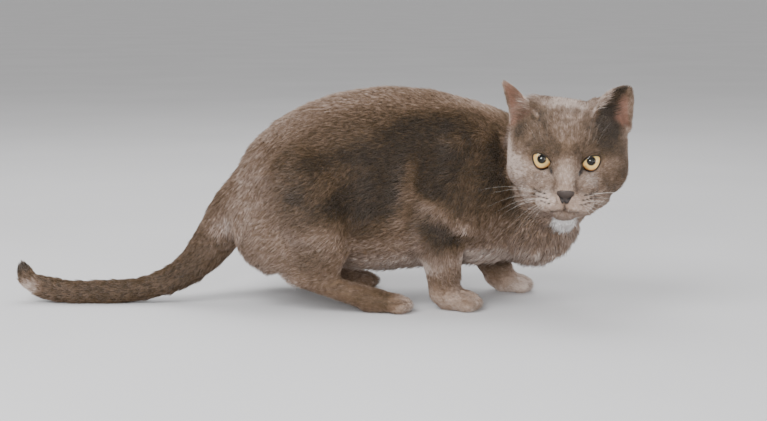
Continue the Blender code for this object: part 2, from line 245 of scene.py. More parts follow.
# node trees are put together with these small helpers
def addNode(tree, kind, inputs=None, **settings):
    node = tree.nodes.new(kind)
    for key, value in settings.items():
        setattr(node, key, value)
    for key, value in (inputs or {}).items():
        if isinstance(value, bpy.types.NodeSocket):
            tree.links.new(value, node.inputs[key])
        else:
            node.inputs[key].default_value = value
    return node


def newGroup(name, inputs, outputs):
    tree = bpy.data.node_groups.new(name, "ShaderNodeTree")
    for socket, (kind, value) in inputs.items():
        made = tree.interface.new_socket(socket, in_out="INPUT", socket_type=kind)
        if value is not None:
            made.default_value = value
    for socket, kind in outputs.items():
        tree.interface.new_socket(socket, in_out="OUTPUT", socket_type=kind)
    return tree, addNode(tree, "NodeGroupInput"), addNode(tree, "NodeGroupOutput")


def linear(red, green, blue):  # a colour given from 0 to 255
    made = []
    for value in (red, green, blue):
        share = value / 255
        made.append(share / 12.92 if share < 0.04045 else ((share + 0.055) / 1.055) ** 2.4)
    return (*made, 1.0)


def fillRamp(ramp, stops):
    while len(ramp.elements) < len(stops):
        ramp.elements.new(0.5)
    for element, (position, colour) in zip(ramp.elements, stops):
        element.position = position
        element.color = colour


def mixColour(tree, share, low, high):  # low where share is 0, high where it is 1
    mix = addNode(tree, "ShaderNodeMix", {"Factor": share, 6: low, 7: high}, data_type="RGBA")
    return mix.outputs[2]


def cloudyColour(tree, shader, scale, stops):  # a base colour that drifts between the stops
    spot = addNode(tree, "ShaderNodeTexCoord").outputs["Object"]
    cloud = addNode(tree, "ShaderNodeTexNoise", {"Vector": spot, "Scale": scale})
    ramp = addNode(tree, "ShaderNodeValToRGB", {"Fac": cloud.outputs["Fac"]})
    fillRamp(ramp.color_ramp, stops)
    tree.links.new(ramp.outputs["Color"], shader.inputs["Base Color"])


def roughen(tree, shader, height, strength, distance):
    bump = addNode(tree, "ShaderNodeBump", {
        "Height": height, "Strength": strength, "Distance": distance})
    tree.links.new(bump.outputs["Normal"], shader.inputs["Normal"])


def newMaterial(name, finish):  # its shader, with the constant values set on it
    material = bpy.data.materials.new(name)
    material.use_nodes = True
    tree = material.node_tree
    tree.nodes.clear()
    shader = addNode(tree, "ShaderNodeBsdfPrincipled", finish)
    addNode(tree, "ShaderNodeOutputMaterial", {"Surface": shader.outputs[0]})
    return material, tree, shader


# the coat's colours from its darkest to its palest, which the skin and the tufts share
coatPaint = {
    "shades": [(0.00, linear(32, 23, 8)), (0.25, linear(74, 56, 34)),
               (0.50, linear(115, 92, 73)), (0.75, linear(160, 139, 125)),
               (1.00, linear(212, 196, 186))],
    "white": linear(250, 248, 247),
    "bare": linear(160, 115, 98),
    "dark": linear(22, 16, 13),
    "mottleScale": 58.0,  # per metre
    "mottle": 0.11,
    "grainScale": 420.0,
    "grain": 0.17,
    "own": 0.36,  # how far one tuft differs from the next
    "tip": 0.22,  # how much paler the tips are than the roots
}


def coatColourGroup():
    number = "NodeSocketFloat"
    tree, given, made = newGroup(
        "coatColour",
        {"Light": (number, 0.5), "White": (number, 0.0), "Bare": (number, 0.0),
         "Dark": (number, 0.0), "Own": (number, 0.5), "Tip": (number, 0.3)},
        {"Colour": "NodeSocketColor", "Height": number})
    spot = addNode(tree, "ShaderNodeTexCoord").outputs["Object"]
    mottle = addNode(tree, "ShaderNodeTexNoise", {
        "Vector": spot, "Scale": coatPaint["mottleScale"], "Detail": 3.0, "Roughness": 0.6})
    grain = addNode(tree, "ShaderNodeTexNoise", {
        "Vector": spot, "Scale": coatPaint["grainScale"], "Detail": 2.0})

    def spread(value, amount, base):  # base + (value - 0.5) * amount
        scaled = addNode(tree, "ShaderNodeMath", {0: value, 1: amount, 2: -0.5 * amount},
                         operation="MULTIPLY_ADD")
        return addNode(tree, "ShaderNodeMath", {0: base, 1: scaled.outputs[0]},
                       operation="ADD").outputs[0]

    light = spread(mottle.outputs["Fac"], coatPaint["mottle"] * 2, given.outputs["Light"])
    light = spread(grain.outputs["Fac"], coatPaint["grain"] * 2, light)
    light = spread(given.outputs["Own"], coatPaint["own"], light)
    light = spread(given.outputs["Tip"], coatPaint["tip"], light)
    ramp = addNode(tree, "ShaderNodeValToRGB", {"Fac": light})
    fillRamp(ramp.color_ramp, coatPaint["shades"])
    colour = ramp.outputs["Color"]
    for name in ("Bare", "White", "Dark"):
        colour = mixColour(tree, given.outputs[name], colour, coatPaint[name.lower()])
    tree.links.new(colour, made.inputs["Colour"])
    tree.links.new(grain.outputs["Fac"], made.inputs["Height"])
    return tree


def leatherGrainGroup():
    number = "NodeSocketFloat"
    tree, given, made = newGroup("leatherGrain", {"Scale": (number, 900.0)},
                                 {"Pebble": number, "Wear": number})
    spot = addNode(tree, "ShaderNodeTexCoord").outputs["Object"]
    cells = addNode(tree, "ShaderNodeTexVoronoi", {
        "Vector": spot, "Scale": given.outputs["Scale"]}, feature="SMOOTH_F1")
    cloud = addNode(tree, "ShaderNodeTexNoise", {"Vector": spot, "Scale": 300.0, "Detail": 3.0})
    tree.links.new(cells.outputs["Distance"], made.inputs["Pebble"])
    tree.links.new(cloud.outputs["Fac"], made.inputs["Wear"])
    return tree


coatColour = coatColourGroup()
leatherGrain = leatherGrainGroup()


def readAttribute(tree, name):
    return addNode(tree, "ShaderNodeAttribute", attribute_name=name).outputs["Fac"]


def furMaterial(name, onTufts):
    finish = {"Roughness": 0.70, "Specular IOR Level": 0.30, "Sheen Weight": 0.22,
              "Sheen Roughness": 0.4, "Sheen Tint": linear(232, 212, 200)}
    material, tree, shader = newMaterial(name, finish)
    values = {key: readAttribute(tree, key.lower()) for key in ("Light", "White", "Bare", "Dark")}
    if onTufts:
        values["Own"] = readAttribute(tree, "own")
        values["Tip"] = readAttribute(tree, "tip")
    paint = addNode(tree, "ShaderNodeGroup", node_tree=coatColour)
    for key, value in values.items():
        tree.links.new(value, paint.inputs[key])
    tree.links.new(paint.outputs["Colour"], shader.inputs["Base Color"])
    if not onTufts:
        roughen(tree, shader, paint.outputs["Height"], 0.6, 0.0006)
    return material


def leatherMaterial(name, low, high, finish, shadeInHoles=False):
    material, tree, shader = newMaterial(name, finish)
    grain = addNode(tree, "ShaderNodeGroup", node_tree=leatherGrain)
    colour = mixColour(tree, grain.outputs["Wear"], low, high)
    if shadeInHoles:
        # painted shade in the nostrils and the groove, and darker towards the nose's point
        colour = mixColour(tree, readAttribute(tree, "hole"), colour, linear(14, 10, 9))
    tree.links.new(colour, shader.inputs["Base Color"])
    roughen(tree, shader, grain.outputs["Pebble"], 0.35, 0.0003)
    return material


skinFur = furMaterial("short fur on the skin", False)
tuftFur = furMaterial("fur tufts", True)
noseLeather = leatherMaterial("nose leather", linear(42, 35, 32), linear(78, 66, 60), {
    "Roughness": 0.45, "Specular IOR Level": 0.45}, shadeInHoles=True)
lidSkin = leatherMaterial("bare lid skin", linear(22, 16, 13), linear(44, 33, 27), {
    "Roughness": 0.34, "Specular IOR Level": 0.5})
print("materials made")


# how the coat lies: a path that runs the way the hair points, then the hair's length
# in millimetres, how far it stands up in degrees and how light the coat is, with painted
# light and shade in it (a pale back and a dark flank), then whether the other side has the same
bodyLie = {
    "spine": ([(118, -4, 158), (60, 0, 176), (0, 0, 184), (-60, 0, 168), (-104, 0, 130)],
              (6.8, 23, 0.62), False),
    "upper side": ([(80, 40, 148), (20, 48, 144), (-30, 48, 138), (-62, 46, 126)],
                   (6.8, 21, 0.25), True),
    "flank": ([(70, 52, 120), (20, 57, 108), (-30, 57, 96), (-62, 56, 92)], (6.8, 21, 0.18), True),
    "side low": ([(70, 48, 76), (20, 52, 64), (-30, 52, 56)], (7.4, 23, 0.58), True),
    "belly": ([(96, 0, 36), (40, 0, 29), (-40, 0, 28)], (10.5, 28, 0.7), False),
    "neck top": ([(150, -44, 150), (128, -14, 152), (100, 0, 156)], (6.8, 24, 0.34), False),
    "nape": ([(130, -44, 142), (118, -36, 142), (100, -34, 140)], (6.8, 24, 0.1), False),
    "neck side": ([(132, -62, 116), (104, -42, 110), (84, -44, 104)], (7.2, 24, -0.04), False),
    "neck far side": ([(172, -36, 116), (150, -4, 104), (126, 26, 96)], (7.2, 24, 0.24), False),
    "throat": ([(150, -76, 92), (142, -62, 76), (134, -48, 60), (124, -30, 44)],
               (9.5, 30, 0.48), False),
    "breast": ([(160, -34, 92), (152, -18, 66), (136, -6, 44)], (9.5, 28, 0.62), False),
    "shoulder": ([(72, 42, 142), (68, 50, 124), (60, 62, 92), (46, 60, 62)], (6.8, 21, 0.26), True),
    "shoulder front": ([(104, 38, 116), (94, 56, 92), (76, 58, 66)], (6.8, 21, 0.22), True),
    "right foreleg": ([(50, -48, 58), (47, -46, 38), (49, -44, 22)], (5.0, 19, 0.68), False),
    "right forepaw": ([(44, -46, 18), (58, -46, 15), (76, -46, 8)], (3.0, 15, 0.74), False),
    "left foreleg": ([(74, 44, 56), (90, 40, 36), (98, 38, 24)], (5.0, 19, 0.56), False),
    "left forepaw": ([(96, 38, 18), (108, 37, 14), (126, 37, 8)], (3.0, 15, 0.94), False),
    "haunch": ([(-24, 56, 120), (-50, 62, 96), (-82, 58, 74), (-104, 46, 52)],
               (6.8, 21, 0.58), True),
    "thigh": ([(-20, 60, 92), (-30, 66, 66), (-54, 66, 46), (-84, 62, 34)], (6.6, 21, 0.56), True),
    "rump": ([(-92, 24, 136), (-112, 28, 104), (-116, 30, 70), (-104, 36, 44)],
             (7.0, 24, 0.66), True),
    "shank": ([(-32, 58, 40), (-52, 58, 34), (-74, 56, 27)], (5.0, 19, 0.68), True),
    "hind foot": ([(-72, 54, 18), (-40, 54, 14), (-4, 55, 14), (16, 55, 8)], (3.4, 16, 0.5), True),
    "tail": ([(-108, -2, 92), (-126, -4, 76), (-150, -8, 43), (-180, -12, 19.5), (-204, -14, 12),
              (-262, -15, 9.2), (-288, -12, 12.4)], (6.5, 18, 0.33), False),
    "tail end": ([(-288, -12, 12.4), (-303, -8, 20), (-307, -4, 30)], (5.0, 16, 0.34), False),
}
# the same on the head, in its own frame: it faces -Y, with the eyes' middle at the origin
headLie = {
    "bridge": ([(0, -36, -24), (0, -26, -10), (0, -14, 6), (0, -8, 20)], (2.3, 12, 0.8), False),
    "forehead": ([(0, -10, 18), (0, -2, 34), (0, 16, 49), (0, 40, 50), (0, 62, 30)],
                 (5.0, 18, 0.62), False),
    "brow": ([(9, -13, 3), (14, -9, 13), (20, -2, 24), (26, 10, 38), (30, 30, 46)],
             (4.0, 16, 0.44), True),
    "above the eye": ([(14, -10, 7), (24, -8, 8), (33, 0, 12), (40, 10, 18)],
                      (3.0, 14, 0.46), True),
    "under the eye": ([(9, -27, -20), (18, -13, -14), (30, -6, -10), (41, 8, -4), (47, 24, 2)],
                      (3.0, 13, 0.84), True),
    "cheek": ([(22, -16, -26), (33, -4, -22), (43, 12, -18), (44, 30, -14), (40, 48, -8)],
              (5.2, 18, 0.72), True),
    "whisker pad": ([(3, -37, -34), (12, -35, -32), (21, -26, -33), (27, -12, -34)],
                    (2.2, 13, 0.84), True),
    "upper lip": ([(2, -36, -38), (9, -34, -39), (17, -26, -38), (24, -12, -38)],
                  (2.0, 12, 0.8), True),
    "chin": ([(0, -28, -41), (0, -22, -46), (0, -8, -47), (0, 10, -46)], (3.2, 22, 0.6), False),
    "jaw": ([(14, -12, -43), (24, 4, -38), (32, 22, -32), (34, 42, -24)], (5.2, 20, 0.62), True),
    "right ear": ([(-30, 24, 28), (-40, 22, 44), (-52.3, 26, 62.5)], (2.8, 12, 0.64), False),
    "left ear": ([(30, 18, 30), (40, 20, 46), (47.5, 20, 62)], (2.8, 12, 0.58), False),
}
# how a path's hold on the coat near it falls off with distance
pathPull = {
    "reach": 10,
    "soft": 0.15,  # keeps the hold finite on the path itself
    "power": 4,
    "other": 0.02,  # how much the head's paths count on the body, and the other way round
    "head": ((51, 60, 53), 0.2, 1.08, 0.88),  # the egg that the head's paths count in
}


def allPaths():
    mirrors = {"body": (1, -1, 1), "head": (-1, 1, 1)}
    for part, lies, place in (("body", bodyLie, fromBody), ("head", headLie, fromHead)):
        for line, lie, both in lies.values():
            yield place(line), lie, part
            if both:
                yield place(np.array(line) * mirrors[part]), lie, part


def coatLie(places):  # the way the hair points at each place, and its values
    total = np.zeros(len(places))
    flow = np.zeros((len(places), 3))
    values = {"length": 0.0, "rise": 0.0, "light": 0.0}
    local = toHead(places)
    onHead = np.maximum(inEgg(local, *pathPull["head"]), inEar(local)[0])
    for path, lie, part in allPaths():
        gap, way = nearPath(places, path)
        weight = 1 / (gap / mm / pathPull["reach"] + pathPull["soft"]) ** pathPull["power"]
        weight *= pathPull["other"] + (onHead if part == "head" else 1 - onHead)
        total += weight
        flow += way * weight[:, None]
        for key, value in zip(values, lie):
            values[key] = values[key] + value * weight
    for key in values:
        values[key] = values[key] / total
    return unit(flow), values


# the skin is one closed mesh made from copies of the flesh nodes
skin = {
    "voxel": 1.1,
    "swell": 0.3,  # closes the thin cuts between the nodes
    "lid": 0.9,  # thickness of the lids over the eyeballs
    "lidHold": (3.4, 0.2),  # away from the lids' edge, where the skin is laid on the eyeball
    "lidReach": (10.8, 9.6),  # away from the eye's middle
    "lidTurn": 1.5,  # how far the lids' edges turn in, towards the closed socket
    "socket": 6.0,
    "bodyRelax": 60,  # how many times each stretch is smoothed
    "headRelax": 12,
    "featureRelax": 4,
    "lastRelax": 8,
    "lastFace": 0.3,  # how far the last smoothing counts on the face
    "offFace": (55, 75),  # away from the eyes' middle
    "keep": 0.34,  # share of the triangles left before the features are refined
    "inset": 0.55,  # of the coat's own height
    "noseArea": (7.2, -35.4, -25.6),  # half width and heights
    "noseFront": -28,
    "noseInset": 1.6,
    # the dark inner corner of each eye, (x, z) places and half widths
    "corner": {-1: ([(-13.0, -5.8), (-12.2, -7.6), (-11.6, -9.4), (-11.2, -11.0)],
                    (1.3, 1.3, 0.9, 0.2)),
               1: ([(12.2, -3.4), (11.2, -6.4), (10.2, -9.4), (9.8, -12.2)],
                   (1.0, 2.0, 1.4, 0.25))},
    "earWall": 1.9,
    "bulgeWidth": 9,  # of the ears' own bulges
    "nodes": [n for n in frame["nodes"] if not n.startswith("eye_") and n != "nose"],
}
lidRadius = head["eyeRadius"] + skin["lid"]
# the almond between the lids, to the left of the nose
lidLine = [(27.2, 2.0), (25.9, 4.2), (22.5, 4.8), (18.5, 3.8), (15.0, 1.8), (12.7, -1.2),
           (11.7, -4.2), (12.4, -6.6), (14.3, -8.1), (17.2, -8.9), (20.6, -8.5), (24.0, -6.5),
           (26.4, -2.6)]
# folds and ridges seen from the head's front: an (x, z) line, its half width, height and
# darkness (the dark lip line and inner corners, and painted shade in the other creases), and
# whether the other side has the same
faceFolds = {
    "philtrum": ([(0, -33.4), (0, -38.6)], 0.9, -1.0, 0.6, False),
    "mouth": ([(0, -38.6), (3.4, -39.5), (7, -40.2), (10.6, -40.6)], 0.7, -1.3, 0.75, True),
    "mouth corner": ([(10.6, -40.6), (14, -39.8)], 1.0, -0.6, 0.2, True),
    "tear line": ([(12.2, -6.6), (10.6, -10.8), (9.9, -14), (9.2, -19), (8.4, -24)],
                  1.2, -0.5, 0.3, True),
    "inner corner": ([(13.0, -5.8), (11.8, -8.2), (10.9, -11.2)], 1.4, -0.6, 1.0, True),
    "brow": ([(9.5, 2.5), (14, 6.6), (19, 9.2), (25, 9.2), (29.5, 6.0)], 2.8, 1.0, 0, True),
    "upper lid fold": ([(13.2, 1.6), (16.5, 4.4), (21.0, 6.6), (26.0, 6.2), (28.8, 3.0)],
                       0.8, -0.5, 0.35, True),
    "lower lid": ([(13.0, -9.8), (17.0, -11.4), (22.0, -10.6), (26.4, -7.4)], 1.7, 0.5, 0, True),
    "pad edge": ([(12.5, -21), (19.5, -26), (24.5, -32), (22.5, -38.5)], 2.4, -0.8, 0, True),
    "pad": ([(5, -34.5), (10, -33), (15, -33)], 4.2, 0.9, 0, True),
    "lip": ([(2.5, -37.4), (6.5, -38.3), (11, -38.3)], 1.4, 0.6, 0, True),
    "bridge side": ([(8.5, -4), (8, -12), (7.2, -20)], 2.0, -0.4, 0, True),
    "chin": ([(-4.5, -43.2), (4.5, -43.2)], 3.0, 0.7, 0, False),
}
# folds of the loose skin, in the body's frame: a line, its half width, height and how much
# paler the coat is painted on it: painted light on the ridges and painted shade in the hollows
bodyFolds = {
    "shoulder blade": ([(20, -52, 104), (24, -52, 121), (30, -51, 132), (40, -48, 138),
                        (61, -44, 141)], 5.2, 3.6, 0.4),
    "behind the shoulder": ([(7, -52, 96), (10, -54, 116), (16, -52, 132), (28, -47, 148)],
                            7, -3.0, -0.32),
    "in the shoulder": ([(38, -54, 100), (44, -52, 116), (54, -50, 124)], 8, -2.0, -0.26),
    "upper arm": ([(20, -53, 104), (18, -54, 89), (15, -54, 74)], 6, 3.0, 0.32),
    "elbow fold": ([(27, -55, 97), (46, -62, 84), (65, -62, 71), (79, -60, 60), (104, -46, 50),
                    (126, -35, 44)], 4.8, 3.6, 0.34),
    "arm hollow": ([(40, -58, 70), (50, -58, 66), (61, -58, 60)], 5.5, -4.5, -0.66),
    "haunch edge": ([(-84, -62, 66), (-53, -62, 63), (-40, -62, 53), (-30, -62, 41)], 6, 2.8, 0.04),
    "haunch crease": ([(-106, -54, 102), (-92, -58, 99), (-76, -60, 95)], 6, -2.4, -0.18),
    "flank hollow": ([(-25, -56, 130), (-21, -57, 112), (-18, -58, 95)], 10, -2.8, -0.1),
    "flank fold": ([(-10, -60, 88), (-2, -60, 74), (8, -58, 60)], 7, 2.0, 0.1),
    "outer hind toe": ([(0, -68, 9), (13, -67, 11), (25, -60, 11)], 1.9, -1.6, -0.26),
    "outer fore toe": ([(62, -60, 9), (75, -60, 11), (86, -53, 11)], 1.9, -1.6, -0.26),
    "far shoulder": ([(15, 50, 104), (24, 50, 128), (50, 46, 147)], 7, 2.6, 0.08),
    "far haunch": ([(-84, 62, 66), (-63, 62, 63), (-50, 62, 48)], 6, 2.6, 0.1),
}
# grooves between the toes, seen from above: heel, tip and half width of each paw
toes = {
    "right forepaw": ((60, -46), (86, -46), 12),
    "left forepaw": ((110, 37), (136, 37), 12),
    "right hind foot": ((0, -54.5), (24, -54.5), 13),
    "left hind foot": ((-28, 54.5), (-4, 54.5), 13),
}
ears = {
    -1: {"inner": (-25, 9, 36), "outer": (-42.5, 32, 20), "tip": (-52.3, 26, 62.5),
         "looks": (-0.5, -0.85, 0.1), "draw": (-2.4, 0.1, -0.8), "bulge": (-33, 49, -1.4, -1.4),
         "pinkFrom": -0.2, "pinkTop": 1.05, "pink": 0.55, "shade": 0.10},
    1: {"inner": (20, 10, 38), "outer": (49, 22, 24), "tip": (47.5, 20, 62),
        "looks": (0.2, -0.95, 0.1), "draw": (1.3, 0.1, -0.8), "bulge": (34, 54, -0.9, 1.4),
        "pinkFrom": 0.46, "pinkTop": 0.85, "pink": 0.62, "shade": 0.36},
}
# the rims of the ears where they run down over the head, raised, and painted pale as pale hair with
# painted rim light: (x, z) lines
earRims = {
    -1: [(-42, 57), (-37.4, 51.5), (-31.4, 42.3), (-26.5, 35.9), (-24.1, 33.1)],
    1: [(38.2, 60.4), (33.2, 56.6), (28.9, 52.0), (23.9, 45.4), (19.4, 38.0), (17.3, 34.0)],
}


def joinedFlesh():
    whole = bmesh.new()
    for name in skin["nodes"] + ["nose"]:
        part = bmesh.new()
        part.from_mesh(frame["nodes"][name].data)
        bmesh.ops.remove_doubles(part, verts=part.verts, dist=1e-6)
        part.normal_update()
        for vert in part.verts:
            vert.co += vert.normal * skin["swell"] * mm
        addPart(whole, part)
    for side in (-1, 1):
        spot = Matrix.Translation(fromHead(eyeSpots[side]))
        bmesh.ops.create_icosphere(whole, subdivisions=4, matrix=spot, radius=lidRadius * mm)
    return objectFrom(whole, "skin")


def applied(piece, kind, **settings):
    change = piece.modifiers.new("change", kind)
    for key, value in settings.items():
        setattr(change, key, value)
    graph = bpy.context.evaluated_depsgraph_get()
    mesh = bpy.data.meshes.new_from_object(piece.evaluated_get(graph))
    piece.modifiers.clear()
    old = piece.data
    piece.data = mesh
    bpy.data.meshes.remove(old)
    mesh.name = piece.name


def earPoints(ear):
    return [np.array(ear[key], float) for key in ("inner", "outer", "tip")]


def inEar(local):  # how surely a place is on an ear, how far up it, and the way it looks
    sure = np.zeros(len(local))
    height = np.zeros(len(local))
    facing = np.zeros((len(local), 3))
    for ear in ears.values():
        inner, outer, tip = earPoints(ear)
        root = (inner + outer) / 2
        rise = tip - root
        half = np.linalg.norm(outer - inner) / 2
        up = (local - root) @ rise / (rise @ rise)
        off = np.linalg.norm(local - root - rise * up[:, None], axis=1)
        hold = fade(off, half * 1.5, half * 1.15) * fade(up, 0.0, 0.16)
        closer = hold > sure
        sure[closer] = hold[closer]
        height[closer] = up[closer]
        facing[closer] = ear["looks"]
    return sure, height, unit(facing)


# how far each part is held back from the smoothing, and the feet from the thinning
stiff = {
    "foot": 0.85,
    "tail": 0.5,
    "ear": 0.85,
    "footLater": 0.6,
    "footMesh": 0.7,
    "footUp": (26, 14),  # where each starts and is whole, in the body's frame
    "tailBack": (-108, -124),
    "faceDepth": (12, 4),  # in the head's frame
    "head": ((58, 62, 58), 0.25, 1.25, 0.95),  # an egg round it
}


def smoothed(piece):
    mesh = piece.data
    places = vertexPlaces(mesh)
    local = toHead(places)
    body = toBody(places)
    onHead = inEgg(local, *stiff["head"])
    onFoot = fade(body[:, 2], *stiff["footUp"])
    onTail = fade(body[:, 0], *stiff["tailBack"])
    sure, _, _ = inEar(local)
    weight = (1 - onHead) * (1 - stiff["foot"] * onFoot) * (1 - stiff["tail"] * onTail)
    places = relax(mesh, places, weight, skin["bodyRelax"])
    weight = (1 - stiff["ear"] * sure) * (1 - stiff["footLater"] * onFoot)
    places = relax(mesh, places, weight, skin["headRelax"])
    movePlaces(mesh, places)
    thin = piece.vertex_groups.new(name="thin")
    onFace = fade(local[:, 1], *stiff["faceDepth"]) * onHead
    share = (1 - onFace) * (1 - stiff["footMesh"] * onFoot) * (1 - sure)
    for index, value in enumerate(share):
        thin.add([index], float(value), "REPLACE")
    applied(piece, "DECIMATE", ratio=skin["keep"], vertex_group="thin", vertex_group_factor=1.0)
    piece.vertex_groups.clear()


def refine(piece, near):  # halves the mesh where near() holds
    bm = bmesh.new()
    bm.from_mesh(piece.data)
    middles = np.array([face.calc_center_median() for face in bm.faces])
    inside = near(toHead(middles))
    edges = {edge for face, isNear in zip(bm.faces, inside) if isNear for edge in face.edges}
    bmesh.ops.subdivide_edges(bm, edges=list(edges), cuts=1, use_grid_fill=True)
    bmesh.ops.triangulate(bm, faces=[face for face in bm.faces if len(face.verts) > 4])
    bm.to_mesh(piece.data)
    bm.free()


# where the skin's mesh is made finer: round each eye, and on the muzzle
finer = {
    "eye": (18.5, -2),
    "eyeReach": 12.5,
    "muzzleHalf": 16,
    "muzzleHeights": (-46, -22),
    "muzzleFront": -14,
}


def inFeatures(local):
    x, y, z = np.abs(local[:, 0]), local[:, 1], local[:, 2]
    eye = (np.hypot(x - finer["eye"][0], z - finer["eye"][1]) < finer["eyeReach"]) & (y < 0)
    low, high = finer["muzzleHeights"]
    muzzle = (x < finer["muzzleHalf"]) & (z < high) & (z > low) & (y < finer["muzzleFront"])
    return eye | muzzle


def toeLines(heel, tip, half):
    heel, tip = np.array(heel, float), np.array(tip, float)
    run = unit(tip - heel)
    aside = np.array((-run[1], run[0]))
    return [(heel + aside * half * share * 0.8 + run * 3, tip + aside * half * share)
            for share in (-0.52, 0.0, 0.52)]


def faceLines(flat):  # each fold of the face: 1 on its line, its height and its darkness
    for line, width, height, dark, both in faceFolds.values():
        for side in (-1, 1) if both else (1,):
            gap, _ = nearPath(flat, rounded(line, 4) * (side, 1))
            yield hump(gap, width), height, dark


def toeGrooves(body, width):
    for heel, tip, half in toes.values():
        for start, end in toeLines(heel, tip, half):
            gap, _ = nearPath(body[:, :2], np.array([start, end]))
            yield hump(gap, width)


# what the head's top and the paws are pressed by, beside the folds
pressed = {
    "crownAside": 14,  # the dip between the ears
    "crownWidth": 12,
    "crownDepth": 3.0,
    "rimHeight": 1.5,  # the ears' rims on the crown
    "rimWidth": 1.5,
    "gutterDepth": 1.6,  # the gutter outside each rim
    "gutterWidth": 2.6,
    "gutterMove": (5.0, -3.0),
    "toeDepth": 3.0,
    "toeWidth": 1.4,
    "head": (75, 65),  # where each starts and is whole: away from the eyes' middle
    "crown": (85, 70),
    "crownUp": (34, 44),
    "crownBack": 22,
    "face": (6, -4),
    "paws": (30, 20),
}


def pressFolds(places, normals):
    local = toHead(places)
    body = toBody(places)
    flat = local[:, (0, 2)]
    away = np.linalg.norm(local, axis=1)
    offEars = 1 - inEar(local)[0]
    shift = np.zeros(len(places))
    onHead = fade(away, *pressed["head"])
    front = fade(local[:, 1], *pressed["face"]) * onHead
    for on, height, _ in faceLines(flat):
        shift += front * height * on
    for line, width, height, _ in bodyFolds.values():
        gap, _ = nearPath(body, rounded(line, 4))
        shift += height * hump(gap, width)
    dip = hump(local[:, 0] - pressed["crownAside"], pressed["crownWidth"])
    dip = dip * fade(local[:, 2], *pressed["crownUp"]) * fade(away, *pressed["crown"]) * offEars
    shift -= pressed["crownDepth"] * dip
    onCrown = onHead * (local[:, 1] < pressed["crownBack"]) * offEars
    for side, line in earRims.items():
        gap, _ = nearPath(flat, rounded(line, 4))
        shift += pressed["rimHeight"] * onCrown * hump(gap, pressed["rimWidth"])
        move = np.array(pressed["gutterMove"]) * (side, 1)
        gap, _ = nearPath(flat, rounded(line, 4) + move)
        shift -= pressed["gutterDepth"] * onCrown * hump(gap, pressed["gutterWidth"])
    for groove in toeGrooves(body, pressed["toeWidth"]):
        shift -= pressed["toeDepth"] * fade(body[:, 2], *pressed["paws"]) * groove
    return places + normals * (shift * mm)[:, None]


def lidSide(local, side):  # signed distance to the almond between the lids, below 0 inside
    line = rounded(lidLine, 6, closed=True) * (side, 1)
    flat = local[:, (0, 2)]
    gap, _ = nearPath(flat, np.vstack([line, line[:1]]))
    crossed = np.zeros(len(flat), bool)
    for (x1, z1), (x2, z2) in zip(line, np.roll(line, -1, axis=0)):
        between = (z1 > flat[:, 1]) != (z2 > flat[:, 1])
        edge = x1 + (flat[:, 1] - z1) / (z2 - z1 + 1e-12) * (x2 - x1)
        crossed ^= between & (flat[:, 0] < edge)
    return np.where(crossed, -gap, gap), line


def onLidBall(flat, side, radius):  # depth of a ball round the eye behind an (x, z) place
    aside = np.hypot(flat[:, 0] - side * head["eyeAside"], flat[:, 1])
    return -np.sqrt(np.maximum(radius ** 2 - aside ** 2, 1.0)), aside


def drapeLids(places):  # lays the skin on a ball just outside each eyeball
    local = toHead(places)
    for side in (-1, 1):
        gap, _ = lidSide(local, side)
        depth, aside = onLidBall(local[:, (0, 2)], side, lidRadius)
        hold = fade(gap, *skin["lidHold"]) * fade(aside, *skin["lidReach"]) * (local[:, 1] < 2)
        local[:, 1] += (depth - local[:, 1]) * hold
    return fromHead(local)


def cutLids(piece):
    bm = bmesh.new()
    bm.from_mesh(piece.data)
    for side in (-1, 1):
        middles = toHead(np.array([face.calc_center_median() for face in bm.faces]))
        gap, line = lidSide(middles, side)
        inside = (gap < 0) & (middles[:, 1] < -2) & (middles[:, 0] * side > 0)
        doomed = [face for face, isIn in zip(bm.faces, inside) if isIn]
        bmesh.ops.delete(bm, geom=doomed, context="FACES")
        rim = [edge for edge in bm.edges if edge.is_boundary]
        verts = list({vert for edge in rim for vert in edge.verts})
        flat = toHead(np.array([vert.co for vert in verts]))[:, (0, 2)]
        for vert, place in zip(verts, flat):
            near = line[np.argmin(np.linalg.norm(line - place, axis=1))]
            depth, _ = onLidBall(near[None], side, lidRadius)
            vert.co = Vector(fromHead((near[0], depth[0], near[1])))
        centre = Vector(fromHead(eyeSpots[side]))
        for radius in (lidRadius - skin["lidTurn"], skin["socket"]):
            grown = bmesh.ops.extrude_edge_only(bm, edges=rim)["geom"]
            rim = [item for item in grown if isinstance(item, bmesh.types.BMEdge)]
            for vert in {vert for edge in rim for vert in edge.verts}:
                vert.co = centre + (vert.co - centre).normalized() * radius * mm
        bmesh.ops.holes_fill(bm, edges=[edge for edge in bm.edges if edge.is_boundary])
    bmesh.ops.remove_doubles(bm, verts=bm.verts, dist=1e-6)
    bmesh.ops.recalc_face_normals(bm, faces=bm.faces)
    bm.to_mesh(piece.data)
    bm.free()


def onNose(local, half, low, high):  # in front of the nose, between these heights
    inside = (np.abs(local[:, 0]) < half) & (local[:, 1] < skin["noseFront"])
    return inside & (local[:, 2] > low) & (local[:, 2] < high)


def insetSkin(places, normals):  # leaves room for the coat, out to the CAD's surface
    _, values = coatLie(places)
    depth = values["length"] * np.sin(np.radians(values["rise"])) * skin["inset"]
    local = toHead(places)
    depth = np.where(onNose(local, *skin["noseArea"]), skin["noseInset"], depth)
    depth = depth * (1 - inEar(local)[0])
    return places - normals * (depth * mm)[:, None]


